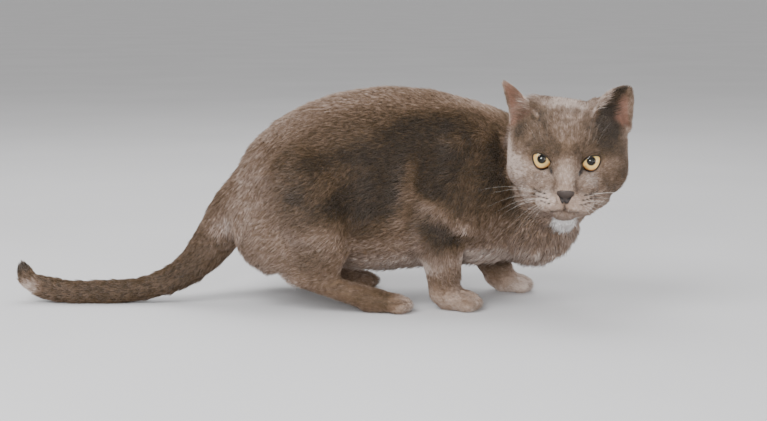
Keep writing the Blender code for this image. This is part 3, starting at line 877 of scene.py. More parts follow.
def finishEars(mesh, places):  # draws the tips out and gives the thin walls their depth
    local = toHead(places)
    sure, height, _ = inEar(local)
    for side, ear in ears.items():
        mine = sure * (local[:, 0] * side > 0) * fade(height, 0.45, 1.0)
        local += np.array(ear["draw"]) * mine[:, None]
        x, z, aside, up = ear["bulge"]
        away = np.hypot(local[:, 0] - x, local[:, 2] - z)
        local += (aside, 0, up) * (sure * hump(away, skin["bulgeWidth"]))[:, None]
    places = fromHead(local)
    movePlaces(mesh, places)
    normals = vertexNormals(mesh)
    tree = treeOf(mesh, places)
    wall = skin["earWall"] * mm
    push = np.zeros(len(places))
    for index in np.flatnonzero(sure > 0.3):
        inward = Vector(-normals[index])
        _, _, _, through = tree.ray_cast(Vector(places[index]) + inward * 1e-5, inward, wall)
        if through is not None:
            push[index] = (wall - through) / 2 * sure[index]
    return places + normals * push[:, None]


def makeSkin():
    piece = joinedFlesh()
    applied(piece, "REMESH", mode="VOXEL", voxel_size=skin["voxel"] * mm)
    smoothed(piece)
    refine(piece, inFeatures)
    mesh = piece.data
    places = vertexPlaces(mesh)
    places = relax(mesh, places, inFeatures(toHead(places)) * 1.0, skin["featureRelax"])
    movePlaces(mesh, places)
    places = insetSkin(places, vertexNormals(mesh))
    movePlaces(mesh, places)
    local = toHead(places)
    weight = skin["lastFace"] + (1 - skin["lastFace"]) * fade(
        np.linalg.norm(local, axis=1), *skin["offFace"])
    places = relax(mesh, places, (1 - inEar(local)[0]) * weight, skin["lastRelax"])
    places = finishEars(mesh, places)
    movePlaces(mesh, places)
    places = pressFolds(places, vertexNormals(mesh))
    places = drapeLids(places)
    movePlaces(mesh, places)
    closedSkin = treeOf(mesh, places)
    cutLids(piece)
    smoothShaded(piece)
    piece.data.materials.append(skinFur)
    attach(piece, "root")
    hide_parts(*skin["nodes"])
    return piece, closedSkin


skinPiece, closedSkin = makeSkin()
print("skin made,", sum(len(poly.vertices) - 2 for poly in skinPiece.data.polygons), "triangles")


# patches of painted light and shade, with some of the coat's own darker or paler tone: middle,
# radii, change
bodyShadeAndTone = {
    "shoulder low": ((41, -58, 88), (16, 18, 13), 0.08),
    "flank": ((-28, -58, 110), (42, 26, 34), -0.26),
    "whole side": ((12, -56, 112), (80, 26, 58), -0.12),
    "haunch middle": ((-64, -60, 84), (24, 20, 20), -0.26),
    "side low": ((-2, -58, 75), (46, 24, 22), -0.30),
    "upper flank": ((-42, -42, 143), (44, 28, 16), 0.08),
    "mid side": ((10, -50, 132), (34, 24, 26), -0.12),
    "shoulder rim": ((44, -10, 178), (50, 40, 12), -0.12),
    "rump side": ((-88, -42, 136), (18, 28, 20), -0.14),
    "shoulder top": ((40, -46, 144), (38, 28, 24), -0.36),
    "behind the elbow": ((90, -54, 70), (28, 26, 18), 0.18),
    "chest low": ((86, -40, 45), (36, 36, 13), 0.36),
    "rump edge": ((-112, -22, 98), (20, 44, 34), 0.02),
    "belly fold": ((14, -50, 37), (48, 28, 11), 0.42),
    "chest rim": ((130, -30, 44), (30, 40, 14), 0.20),
    "scruff": ((84, -30, 150), (22, 30, 22), -0.06),
    "neck hollow": ((94, -46, 122), (16, 26, 22), -0.16),
    "behind the head": ((90, -38, 148), (16, 22, 14), 0.12),
    "rump top": ((-100, -26, 126), (22, 30, 20), -0.06),
    "tail base": ((-134, -6, 68), (18, 26, 16), 0.46),
    "tail end": ((-296, -10, 13), (12, 18, 8), 0.60),
    "tail tip": ((-306, -4, 30), (9, 12, 10), -0.70),
    "tail": ((-200, -16, 20), (100, 34, 34), -0.10),
    "near foreleg": ((50, -50, 30), (22, 26, 18), -0.22),
    "far foreleg": ((98, 26, 22), (20, 34, 20), -0.34),
    "knee": ((-46, -58, 38), (32, 24, 22), -0.22),
    "foot": ((-6, -62, 12), (34, 20, 12), -0.14),
    "toes": ((16, -56, 8), (16, 18, 12), 0.42),
    "fore toes": ((82, -46, 8), (14, 16, 10), 0.12),
}
# the same on the head, in its own frame: the cat's left side, away from the key lamp, and the
# insides of the ears get painted shade
headShadeAndTone = {
    "over the right eye": ((-17.5, -10, 11), (13, 13, 7), -0.06),
    "over the left eye": ((17.5, -10, 11), (13, 13, 7), 0.02),
    "between the eyes": ((0, -10, 5), (9, 14, 11), -0.28),
    "right temple": ((-26, 2, 22), (10, 16, 13), 0.04),
    "left temple": ((29, 4, 17), (14, 20, 15), -0.30),
    "by the right ear": ((-22, 2, 34), (8, 20, 9), -0.12),
    "by the left ear": ((32, 7, 29), (12, 16, 12), -0.80),
    "right cheek": ((-40, 8, -4), (14, 24, 22), 0.14),
    "left cheek": ((35, 4, -15), (16, 28, 16), -0.33),
    "left cheek edge": ((46, 10, 0), (9, 24, 18), -0.26),
    "under the left eye": ((19, -12, -16), (9, 14, 7), 0.10),
    "right side": ((-48, 24, 13), (7, 34, 24), 0.30),
    "under the right ear": ((-38, 8, 22), (8, 12, 10), -0.28),
    "right jaw": ((-31, 8, -28), (10, 20, 10), 0.16),
    "left crown": ((17, 6, 44), (9, 11, 9), 0.16),
    "left side": ((48, 14, 16), (6, 20, 14), 0.24),
    "crown": ((-2, 8, 46), (28, 15, 13), 0.36),
    "bridge": ((0, -30, -12), (7, 14, 10), 0.10),
    "beside the nose, right": ((-8.5, -30, -20), (3.4, 9, 9), -0.18),
    "beside the nose, left": ((8.5, -30, -20), (3.4, 9, 9), -0.18),
    "chin": ((0, -26, -43), (9, 8, 4.5), 0.12),
    "right pad": ((-15, -28, -30), (10, 14, 8), 0.12),
    "left pad": ((15, -28, -30), (10, 14, 8), -0.02),
    "whole face": ((4, -4, -4), (62, 50, 48), -0.12),
    "in the right ear": ((-44, 22, 50), (9, 18, 10), -0.40),
    "in the left ear": ((42, 20, 55), (9, 14, 8), -0.26),
}
# the other marks: middles and radii, strengths, and where each starts and is whole
marks = {
    "throat": ((1.3, 24, -48.6), (10.2, 60, 5.8)),
    "throatBack": (-14, -4),
    "throatEdge": (0.0, 0.32),
    "forehead": ((0, 0, 28), (34, 30, 26)),
    "streak": 0.24,
    "streakWide": 1.9,
    "streakLong": 11,
    "foldSpread": 1.2,  # of the fold's own half width
    # painted rim light along the ears' rims, over their pale hair
    "rim": 0.36,
    "rimEdge": (1.6, 0.5),
    "rimBack": 20,
    # painted shade in the grooves between the toes
    "toe": 0.45,
    "toeWidth": 1.3,
    "toeUp": (26, 18),
    "front": (2, -6),
    "lid": 0.9,
    "lidEdge": (0.7, 0.1),
    "root": 0.95,  # the whiskers' dark roots, longer than they are tall
    "rootLong": 1.5,
    "rootTall": 0.75,
    "rootEdge": (1.2, 0.5),
}
whiskerSpots = [(15.6, -26.9), (18.6, -26.0), (21.6, -25.0), (13.8, -30.7), (16.8, -30.0),
                (19.8, -29.2), (22.8, -28.4), (12.2, -34.2), (15.2, -33.5), (18.2, -32.7)]


def patch(places, middle, radii):  # 1 well inside, 0 outside
    away = np.linalg.norm((places - np.array(middle, float)) / np.array(radii, float), axis=1)
    return fade(away, 1.2, 0.35)


def aroundEar(local, normals):  # how a place lies on its ear, across from 0 at the inner edge
    sure, height, facing = inEar(local)
    looking = np.sum(normals @ headAxes * facing, axis=1)
    across = np.zeros(len(local))
    for side, ear in ears.items():
        inner, outer, tip = earPoints(ear)
        up = np.clip(height, 0, 0.9)[:, None]
        start, end = inner + (tip - inner) * up, outer + (tip - outer) * up
        share = np.sum((local - start) * (end - start), axis=1) / np.sum((end - start) ** 2, axis=1)
        across = np.where(local[:, 0] * side > 0, share, across)
    return sure, height, looking, across


def darkSpots(local):  # painted shade in the face's creases, with the dark lip line, the lids' edges and the whiskers' roots
    dark = np.zeros(len(local))
    front = fade(local[:, 1], *marks["front"])
    flat = local[:, (0, 2)]
    for on, _, depth in faceLines(flat):
        dark = np.maximum(dark, front * depth * on)
    for side in (-1, 1):
        gap, _ = lidSide(local, side)
        onLid = fade(gap, *marks["lidEdge"]) * (local[:, 1] < 0)
        dark = np.maximum(dark, marks["lid"] * onLid)
        for x, z in whiskerSpots:
            away = np.hypot((flat[:, 0] - side * x) / marks["rootLong"],
                            (flat[:, 1] - z) / marks["rootTall"])
            dark = np.maximum(dark, marks["root"] * front * fade(away, *marks["rootEdge"]))
    return dark


earPaint = {
    "ahead": (-0.15, 0.1),  # how far the wall faces forwards where it is the ear's inside
    "past": (0.0, 1.2),  # how far out of the inner rim
    "up": (-0.05, 0.1),  # up and across the ear, as shares of it
    "across": (1.05, 0.98),
    "pinkSoft": (-0.15, 0.18),
    "pinkFall": 0.3,
    # painted shade at the bottom of the ear's hollow
    "root": 0.26,
    "rootUp": (0.3, 0.05),
    # the pale edge where the ear's wall turns from the view: pale hair with painted rim light
    "edge": 0.40,
    "edgeAhead": (0.4, 0.15),
    "edgeUp": (0.0, 0.3),
    "innerEdge": (1.8, 0.6),
    "outerEdge": (0.42, 0.52),
}


def paintEars(local, normals, light):  # painted shade and pink inside, with a pale edge of pale hair and painted rim light
    sure, height, _, across = aroundEar(local, normals)
    ahead = -(normals @ headAxes)[:, 1]
    bare = np.zeros(len(local))
    for side, ear in ears.items():
        rimX = np.interp(local[:, 2], *np.array(earRims[side])[::-1, ::-1].T)
        past = side * (local[:, 0] - rimX)
        mine = sure * fade(ahead, *earPaint["ahead"]) * fade(past, *earPaint["past"])
        mine = mine * fade(height, *earPaint["up"]) * fade(across, *earPaint["across"])
        before, after = earPaint["pinkSoft"]
        pink = fade(across, ear["pinkFrom"] + before, ear["pinkFrom"] + after)
        # painted shade inside the ear, and more at the bottom of its hollow
        shadeAtRoot = earPaint["root"] * fade(height, *earPaint["rootUp"])
        light = light - mine * (ear["shade"] * (1 - pink) + shadeAtRoot)
        top = ear["pinkTop"]
        bare += ear["pink"] * mine * pink * fade(height, top, top - earPaint["pinkFall"])
        edge = fade(np.abs(ahead), *earPaint["edgeAhead"]) * (local[:, 0] * side > 0)
        edge = edge * fade(height, *earPaint["edgeUp"])
        rim = np.maximum(fade(np.abs(past), *earPaint["innerEdge"]),
                         fade(np.abs(across - 0.5), *earPaint["outerEdge"]))
        light = light + earPaint["edge"] * sure * edge * rim
    return light, bare


def markings(places, normals, light):
    local = toHead(places)
    body = toBody(places)
    # painted light and shade over the coat, with some of its own tone
    for middle, radii, change in bodyShadeAndTone.values():
        light = light + change * patch(body, middle, radii)
    for middle, radii, change in headShadeAndTone.values():
        light = light + change * patch(local, middle, radii)
    forehead = patch(local, *marks["forehead"])
    for index in np.flatnonzero(forehead > 0.01):  # faint streaks up the forehead
        x, _, z = local[index]
        streak = noise.noise(Vector((x / marks["streakWide"], z / marks["streakLong"], 4.0)))
        light[index] += marks["streak"] * forehead[index] * streak
    white = patch(local, *marks["throat"]) * fade(local[:, 1], *marks["throatBack"])
    white = fade(white, *marks["throatEdge"])
    for line, width, _, change in bodyFolds.values():  # painted light on the ridges, painted shade in the hollows
        gap, _ = nearPath(body, rounded(line, 4))
        light = light + change * hump(gap, width * marks["foldSpread"])
    # the ears' rims on the crown: pale hair with painted rim light
    for line in earRims.values():
        gap, _ = nearPath(local[:, (0, 2)], rounded(line, 4))
        onRim = fade(gap, *marks["rimEdge"]) * (local[:, 1] < marks["rimBack"])
        light = light + marks["rim"] * onRim
    # painted shade in the grooves between the toes
    for groove in toeGrooves(body, marks["toeWidth"]):
        light = light - marks["toe"] * fade(body[:, 2], *marks["toeUp"]) * groove
    light, bare = paintEars(local, normals, light)
    return {"light": np.clip(light, 0, 1), "white": white, "dark": darkSpots(local),
            "bare": bare}


def finishSkin():
    mesh = skinPiece.data
    places, normals = vertexPlaces(mesh), vertexNormals(mesh)
    flow, lie = coatLie(places)
    painted = markings(places, normals, lie["light"])
    for name, values in painted.items():
        saveAttribute(mesh, name, values)
    return places, normals, flow, lie, painted


skinPlaces, skinNormals, skinFlow, skinLie, skinMarks = finishSkin()
print("skin marked")


# the coat: short spindles in joined meshes, one mesh for each stretch of the body
coats = {
    "coat_face": {"nodes": ("head",), "face": True, "tufts": 33000, "width": 0.115, "seed": 1},
    "coat_crown": {"nodes": ("head",), "face": False, "tufts": 28000, "width": 0.105, "seed": 2},
    "coat_ears": {"nodes": ("ear_",), "tufts": 15000, "width": 0.10, "seed": 3},
    "coat_neck": {"nodes": ("neck",), "tufts": 24000, "width": 0.105, "seed": 4},
    "coat_chest": {"nodes": ("chest",), "tufts": 33000, "width": 0.105, "seed": 5},
    "coat_forelegs": {"nodes": ("upper_arm", "forearm", "forepaw"), "tufts": 29000,
                      "width": 0.105, "seed": 6},
    "coat_loins": {"nodes": ("loins",), "tufts": 33000, "width": 0.105, "seed": 7},
    "coat_hind_legs": {"nodes": ("thigh", "lower_leg", "hind_foot"), "tufts": 33000,
                       "width": 0.105, "seed": 8},
    "coat_ear_hair": {"nodes": ("ear_", "head"), "tufts": 900, "width": 0.03, "seed": 10,
                      "inEars": True, "length": 10.0},
    "coat_tail": {"nodes": ("tail",), "tufts": 22000, "width": 0.105, "seed": 9},
}
tuft = {
    "sides": 3,
    "bow": 0.11,  # how far the middle stands above the line from root to tip
    "widest": 1.35,
    "flat": 0.5,
    "spread": 0.16,  # random turn aside, radians
    "clumpTurn": 0.30,  # turn that neighbours share
    "clumpRise": 0.28,
    "clumpSize": 6.0,
    "lockSize": 2.6,  # neighbours this close share their shade
    "lengths": (0.72, 1.22),
    "rises": (0.7, 1.3),
    "widths": (0.7, 1.2),
    "clumpLength": 0.12,
    "ownRandom": 0.75,  # a tuft's own shade, from chance and from its lock
    "ownLock": 0.42,
    "sunk": 0.25,
    "pinkThin": 0.55,  # share of the tufts left out in the pink of the ears
    "crease": 0.55,  # none where the skin turns this far from its own normal, in a crease
    "earHairPink": 0.25,
    "noiseGain": 1.6,
    "sheetFaces": 2400,
    "sheetAngle": 66,
    "sheetMargin": 0.008,
    "bakePatch": 0.003,
}


def skinTriangles():
    mesh = skinPiece.data
    mesh.calc_loop_triangles()
    corners = np.empty(len(mesh.loop_triangles) * 3, np.int32)
    mesh.loop_triangles.foreach_get("vertices", corners)
    return corners.reshape(-1, 3)


def nearestNodes(middles):
    points, faces, owners = [], [], []
    for name in skin["nodes"]:
        mesh = frame["nodes"][name].data
        base = len(points)
        points.extend(vert.co[:] for vert in mesh.vertices)
        faces.extend([base + corner for corner in poly.vertices] for poly in mesh.polygons)
        owners.extend([name] * len(mesh.polygons))
    tree = BVHTree.FromPolygons(points, faces)
    return np.array([owners[tree.find_nearest(Vector(middle))[2]] for middle in middles])


def sharedNoise(places, size, start):  # a slow random value from -1 to 1 for neighbours
    return np.array([noise.noise(Vector(place / (size * mm)) + Vector((start, 0, 0)))
                     for place in places]) * tuft["noiseGain"]


triangles = skinTriangles()
triangleNodes = nearestNodes(skinPlaces[triangles].mean(axis=1))
skinClump = sharedNoise(skinPlaces, tuft["clumpSize"], 0)


# how far from the eyes' openings and the nose no tuft is rooted
bald = {
    "eyeReach": 13.5,
    "lidGap": 0.6,
    "cornerGap": 1.6,
    "noseHalf": 5.6,
    "noseTaper": 0.5,
    "noseTaperFrom": -29,
    "noseHeights": (-35.0, -26.8),
}


def bareness(places):  # 1 where no tuft is rooted: the eyes' openings and under the nose
    local = toHead(places)
    bare = np.zeros(len(places))
    for side in (-1, 1):
        gap, _ = lidSide(local, side)
        near = np.linalg.norm(local - eyeSpots[side], axis=1) < bald["eyeReach"]
        bare = np.maximum(bare, ((gap < bald["lidGap"]) & near) * 1.0)
        gap, _ = nearPath(local[:, (0, 2)], np.array(skin["corner"][side][0]))
        bare = np.maximum(bare, ((gap < bald["cornerGap"]) & near) * 1.0)
    under = np.maximum(bald["noseTaperFrom"] - local[:, 2], 0)
    half = bald["noseHalf"] - bald["noseTaper"] * under
    return np.maximum(bare, onNose(local, half, *bald["noseHeights"]) * 1.0)


skinBareness = bareness(skinPlaces)


def tuftTemplate():
    bm = bmesh.new()
    bmesh.ops.create_uvsphere(bm, u_segments=tuft["sides"], v_segments=2, radius=1.0)
    points = np.array([vert.co[:] for vert in bm.verts])
    faces = np.array([[vert.index for vert in face.verts] for face in bm.faces])
    bm.free()
    along = ((points[:, 2] + 1) / 2) ** tuft["widest"]
    return along, points[:, 0], points[:, 1], faces


def bakeSheet(corners):  # an unwrap of this stretch of the skin, for where each tuft is rooted
    used, renumbered = np.unique(corners, return_inverse=True)
    mesh = bpy.data.meshes.new("sheet")
    mesh.from_pydata(skinPlaces[used].tolist(), [], renumbered.reshape(-1, 3).tolist())
    sheet = placed("sheet", mesh)
    applied(sheet, "DECIMATE", ratio=min(1.0, tuft["sheetFaces"] / len(corners)))
    bpy.context.view_layer.objects.active = sheet
    sheet.select_set(True)
    bpy.ops.object.mode_set(mode="EDIT")
    bpy.ops.mesh.select_all(action="SELECT")
    bpy.ops.uv.smart_project(angle_limit=math.radians(tuft["sheetAngle"]),
                             island_margin=tuft["sheetMargin"])
    bpy.ops.object.mode_set(mode="OBJECT")
    mesh = sheet.data
    points = vertexPlaces(mesh)
    tree = treeOf(mesh, points)
    layer = mesh.uv_layers.active.data
    faces = np.array([poly.vertices[:] for poly in mesh.polygons])
    sheetUv = np.array([[layer[loop].uv[:] for loop in poly.loop_indices]
                        for poly in mesh.polygons])
    bpy.data.objects.remove(sheet)
    return tree, points[faces], sheetUv


def placesOnSheet(sheet, places):
    tree, corners, sheetUv = sheet
    found = [tree.find_nearest(Vector(place)) for place in places]
    face = np.array([hit[2] for hit in found])
    spot = np.array([hit[0][:] for hit in found])
    a, b, c = (corners[face, i] for i in range(3))
    whole = np.linalg.norm(np.cross(b - a, c - a), axis=1) + 1e-18
    first = np.linalg.norm(np.cross(b - spot, c - spot), axis=1) / whole
    second = np.linalg.norm(np.cross(c - spot, a - spot), axis=1) / whole
    third = np.clip(1 - first - second, 0, 1)
    shares = np.stack([first, second, third], axis=1)
    shares /= shares.sum(axis=1, keepdims=True)
    return np.einsum("ij,ijk->ik", shares, sheetUv[face])


# where the long hairs inside the ears stand, as shares of the ear, and how they point
longHair = {
    "looking": (0.2, 0.5),
    "across": (0.5, 0.2),
    "top": (0.7, 0.4),
    "bottom": (-0.1, 0.05),
    "outwards": 0.7,
    "upwards": 0.7,
    "forwards": 0.5,
}


def earHair():  # where the long hairs inside the ears are rooted, and the way they point
    local = toHead(skinPlaces)
    sure, height, looking, across = aroundEar(local, skinNormals)
    roots = sure * fade(looking, *longHair["looking"]) * fade(across, *longHair["across"])
    roots *= fade(height, *longHair["top"]) * fade(height, *longHair["bottom"])
    aim = np.zeros((len(local), 3))
    for side, ear in ears.items():
        inner, outer, tip = earPoints(ear)
        way = unit(outer - inner) * longHair["outwards"]
        way += unit(tip - (inner + outer) / 2) * longHair["upwards"]
        way += unit(np.array(ear["looks"])) * longHair["forwards"]
        aim[local[:, 0] * side > 0] = way
    return roots, unit(aim) @ headAxes.T


earHairRoots, earHairWay = earHair()


def rootTufts(coat, corners, count, rng):  # random places on these triangles, evenly spread
    a, b, c = (skinPlaces[corners[:, i]] for i in range(3))
    area = np.linalg.norm(np.cross(b - a, c - a), axis=1)
    area *= np.clip(1 - skinBareness[corners].max(axis=1), 0, 1)
    if "inEars" in coat:
        area *= earHairRoots[corners].min(axis=1)
    area *= 1 - tuft["pinkThin"] * fade(skinMarks["bare"][corners].mean(axis=1), 0.3, 0.6)
    facing = unit(np.cross(b - a, c - a))
    agree = np.sum(facing * unit(skinNormals[corners].mean(axis=1)), axis=1)
    area *= agree > tuft["crease"]
    reach = np.cumsum(area)
    pick = (np.arange(count) + rng.random(count)) / count * reach[-1]
    chosen = corners[np.searchsorted(reach, pick)]
    u, v = rng.random(count), rng.random(count)
    over = u + v > 1
    u[over], v[over] = 1 - u[over], 1 - v[over]
    shares = np.stack([1 - u - v, u, v], axis=1)

    def blend(values):
        picked = values[chosen]
        return np.einsum("ij,ij...->i...", shares, picked)

    return blend


def stretchOf(coat):  # the triangles of the skin that this coat grows on
    mine = np.zeros(len(triangles), bool)
    for start in coat["nodes"]:
        mine |= np.char.startswith(triangleNodes, start)
    if "face" in coat:
        onFace = toHead(skinPlaces[triangles].mean(axis=1))[:, 1] < 10
        mine &= onFace == coat["face"]
    return triangles[mine]


def layTufts(coat, blend, count, rng, shape):  # the places of every tuft's points
    along, aside, above = shape
    root, normal = blend(skinPlaces), unit(blend(skinNormals))
    flow = unit(blend(earHairWay if "inEars" in coat else skinFlow))
    clump = blend(skinClump)
    rise = np.radians(blend(skinLie["rise"])) * rng.uniform(*tuft["rises"], count)
    rise *= 1 + tuft["clumpRise"] * clump
    lifted = np.sum(flow * normal, axis=1)
    flow = unit(flow - normal * lifted[:, None])
    turn = rng.normal(0, tuft["spread"], count) + clump * tuft["clumpTurn"]
    flow = flow * np.cos(turn)[:, None] + np.cross(normal, flow) * np.sin(turn)[:, None]
    rise = np.maximum(rise, np.arcsin(np.clip(lifted, 0, 1)) * 0.9)  # at the tail's very end
    ahead = flow * np.cos(rise)[:, None] + normal * np.sin(rise)[:, None]
    side = np.cross(normal, flow)
    over = np.cross(ahead, side)
    length = coat.get("length", blend(skinLie["length"])) * rng.uniform(*tuft["lengths"], count)
    length *= 1 + tuft["clumpLength"] * clump
    width = length * coat["width"] * rng.uniform(*tuft["widths"], count) / 2
    bow = np.outer(length * tuft["bow"], 4 * along * (1 - along))
    bow += np.outer(width * tuft["flat"], above)
    return (root - normal * tuft["sunk"] * mm)[:, None] + mm * (
        ahead[:, None] * np.outer(length, along)[..., None] + over[:, None] * bow[..., None]
        + side[:, None] * np.outer(width, aside)[..., None])


def triangleMesh(name, places, corners):
    mesh = bpy.data.meshes.new(name)
    mesh.vertices.add(places.size // 3)
    mesh.vertices.foreach_set("co", places.astype(np.float32).ravel())
    mesh.loops.add(corners.size)
    mesh.loops.foreach_set("vertex_index", corners.astype(np.int32).ravel())
    mesh.polygons.add(len(corners))
    mesh.polygons.foreach_set("loop_start", np.arange(len(corners), dtype=np.int32) * 3)
    mesh.polygons.foreach_set("use_smooth", np.ones(len(corners), bool))
    mesh.update(calc_edges=True)
    return mesh


def growCoat(name, coat):
    rng = np.random.default_rng(coat["seed"])
    stretch = stretchOf(coat)
    count = coat["tufts"]
    blend = rootTufts(coat, stretch, count, rng)
    along, aside, above, faces = tuftTemplate()
    size = len(along)
    places = layTufts(coat, blend, count, rng, (along, aside, above))
    corners = (faces[None] + (np.arange(count) * size)[:, None, None]).reshape(-1, 3)
    mesh = triangleMesh(name, places, corners)
    saveAttribute(mesh, "tip", np.tile(along, count))
    root = blend(skinPlaces)
    lock = sharedNoise(root, tuft["lockSize"], 40)
    own = 0.5 + (rng.random(count) - 0.5) * tuft["ownRandom"] + tuft["ownLock"] * lock
    saveAttribute(mesh, "own", np.repeat(np.clip(own, 0, 1), size))
    for key, values in skinMarks.items():
        less = tuft["earHairPink"] if "inEars" in coat and key == "bare" else 1
        saveAttribute(mesh, key, np.repeat(blend(values) * less, size))
    onSheet = placesOnSheet(bakeSheet(stretch), root)[:, None] + tuft["bakePatch"] * np.stack(
        [aside / 2, along - 0.5], axis=1)[None]
    layer = mesh.uv_layers.new(name="OFBake")
    layer.data.foreach_set("uv", np.clip(onSheet.reshape(-1, 2)[corners.ravel()], 0, 1)
                           .astype(np.float32).ravel())
    piece = placed(name, mesh)
    mesh.materials.append(tuftFur)
    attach(piece, "root")
    print(name, "grown,", len(corners), "triangles")


for coatName, coat in coats.items():
    growCoat(coatName, coat)


# eyeballs: an iris dish under a clear ball
eye = {
    "core": 10.0,
    "irisRadius": 7.5,
    "overlap": 0.1,  # how much wider the ball's opening is than the iris
    "limbus": 0.3,  # and the clear ball's
    "dish": [(7.3, -6.8), (6.0, -7.0), (4.5, -7.15), (3.0, -7.2), (2.9, -6.4), (0, -6.3)],
    "irisBack": -6,
    "colours": [(0.0, linear(6, 5, 5)), (0.405, linear(6, 5, 5)), (0.43, linear(160, 116, 56)),
                (0.50, linear(255, 224, 148)), (0.80, linear(255, 210, 124)),
                (0.93, linear(214, 138, 64)), (1.0, linear(48, 30, 17))],
    "fibres": 9.0,  # the noise that streaks it from the pupil outwards
    "fibreStretch": 0.03,
    # above 1 the fibres brighten the iris past what it can reflect, a painted light for the light
    # the clear ball holds back
    "fibreShade": (0.96, 1.16),
    "dome": 10.9,
    "steps": 48,
}


def turned(profile, matrix, name):  # a shape turned round the eye's own axis
    bm = bmesh.new()
    verts = [bm.verts.new((radius * mm, depth * mm, 0)) for radius, depth in profile]
    edges = [bm.edges.new(pair) for pair in zip(verts, verts[1:])]
    bmesh.ops.spin(bm, geom=verts + edges, cent=(0, 0, 0), axis=(0, 1, 0),
                   angle=math.tau, steps=eye["steps"], use_merge=True)
    bmesh.ops.remove_doubles(bm, verts=bm.verts, dist=1e-7)
    bmesh.ops.recalc_face_normals(bm, faces=bm.faces)
    bmesh.ops.transform(bm, matrix=matrix, verts=bm.verts)
    return smoothShaded(objectFrom(bm, name))


def ballProfile(radius, limbus, steps=14):  # from the back of a ball round to its limbus
    stop = math.pi - math.asin(limbus / radius)
    return [(radius * math.sin(stop * i / steps), radius * math.cos(stop * i / steps))
            for i in range(steps + 1)]


def domeProfile(start, top, steps=10):  # the cornea, from the limbus to its front
    radius, depth = start
    sag = -top - depth
    curve = (radius ** 2 + sag ** 2) / (2 * abs(sag))
    full = math.asin(radius / curve)
    return [(curve * math.sin(full * (1 - i / steps)),
             -top + curve - curve * math.cos(full * (1 - i / steps)))
            for i in range(1, steps + 1)]


def irisMaterial():
    material, tree, shader = newMaterial("amber iris", {
        "Roughness": 0.5, "Specular IOR Level": 0.3})
    reach = addNode(tree, "ShaderNodeAttribute", attribute_name="fromPupil").outputs["Fac"]
    ring = addNode(tree, "ShaderNodeAttribute", attribute_name="ringPlace").outputs["Vector"]
    fibres = addNode(tree, "ShaderNodeTexNoise", {
        "Vector": ring, "Scale": eye["fibres"], "Detail": 2.0})
    ramp = addNode(tree, "ShaderNodeValToRGB", {"Fac": reach})
    fillRamp(ramp.color_ramp, eye["colours"])
    darkest, palest = eye["fibreShade"]
    shade = addNode(tree, "ShaderNodeMapRange", {
        "Value": fibres.outputs["Fac"], "From Min": 0.25, "From Max": 0.75,
        "To Min": darkest, "To Max": palest})
    scaled = addNode(tree, "ShaderNodeVectorMath", {
        0: ramp.outputs["Color"], "Scale": shade.outputs["Result"]}, operation="SCALE")
    tree.links.new(scaled.outputs["Vector"], shader.inputs["Base Color"])
    return material


def makeEyes():
    iris = irisMaterial()
    clear, _, _ = newMaterial("clear cornea", {
        "Base Color": (1, 1, 1, 1), "Roughness": 0.0, "IOR": 1.34, "Transmission Weight": 1.0})
    for side, name in ((-1, "right"), (1, "left")):
        spot = headMatrix @ Matrix.Translation(Vector(eyeSpots[side]) * mm)
        radius = eye["irisRadius"]
        core = ballProfile(eye["core"], radius + eye["overlap"]) + eye["dish"]
        ball = turned(core, spot, "eyeball_" + name)
        local = toHead(vertexPlaces(ball.data)) - eyeSpots[side]
        flat = np.hypot(local[:, 0], local[:, 2])
        share = np.where(local[:, 1] < eye["irisBack"], flat / radius, 1.0)
        saveAttribute(ball.data, "fromPupil", np.clip(share, 0, 1))
        ring = ball.data.attributes.new("ringPlace", "FLOAT_VECTOR", "POINT")
        around = local[:, (0, 2)] / np.maximum(flat, 1e-3)[:, None]
        ringed = np.column_stack([around, flat * eye["fibreStretch"]])
        ring.data.foreach_set("vector", ringed.astype(np.float32).ravel())
        ball.data.materials.append(iris)
        limbus = ballProfile(head["eyeRadius"], radius + eye["limbus"])
        cornea = turned(limbus + domeProfile(limbus[-1], eye["dome"]), spot, "cornea_" + name)
        cornea.data.materials.append(clear)
        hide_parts("eye_" + name)
        for piece in (ball, cornea):
            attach(piece, "root")


makeEyes()
print("eyes made")


def onSkin(x, z):  # the place on the closed skin in front of an (x, z) place of the head
    start = Vector(fromHead((x, -90, z)))
    hit, _, _, _ = closedSkin.ray_cast(start, headRotation @ Vector((0, 1, 0)))
    return toHead(np.array(hit))


def tube(points, radii, sides, closed=False):  # points in metres, one ring at each
    bm = bmesh.new()
    points = [Vector(point) for point in points]
    count = len(points)
    ways = [(points[(i + 1) % count if closed else min(i + 1, count - 1)]
             - points[i - 1 if closed else max(i - 1, 0)]).normalized() for i in range(count)]
    turnTo = ways[0].to_track_quat("Z", "Y")
    matrix = Matrix.Translation(points[0]) @ turnTo.to_matrix().to_4x4()
    ring = bmesh.ops.create_circle(bm, segments=sides, radius=radii[0], matrix=matrix)["verts"]
    edges = list({edge for vert in ring for edge in vert.link_edges})
    firstEdges = edges
    for i in range(1, count):
        swing = ways[i - 1].rotation_difference(ways[i]).to_matrix().to_4x4()
        step = (Matrix.Translation(points[i]) @ swing
                @ Matrix.Scale(radii[i] / radii[i - 1], 4) @ Matrix.Translation(-points[i - 1]))
        grown = bmesh.ops.extrude_edge_only(bm, edges=edges)["geom"]
        verts = [item for item in grown if isinstance(item, bmesh.types.BMVert)]
        edges = [item for item in grown if isinstance(item, bmesh.types.BMEdge)]
        bmesh.ops.transform(bm, matrix=step, verts=verts)
    if closed:
        bmesh.ops.bridge_loops(bm, edges=firstEdges + edges)
    else:
        bmesh.ops.holes_fill(bm, edges=firstEdges + edges)
    bmesh.ops.recalc_face_normals(bm, faces=bm.faces)
    return bm


def joined(parts, name):
    whole = bmesh.new()
    for part in parts:
        addPart(whole, part)
    return smoothShaded(objectFrom(whole, name))


lidRim = {
    "sunk": 0.25,
    "radius": 0.20,
    "corner": (12.2, -6),  # thicker here, by the nose
    "cornerWidth": 2.2,
    "cornerMore": 0.3,
    "sides": 8,
}


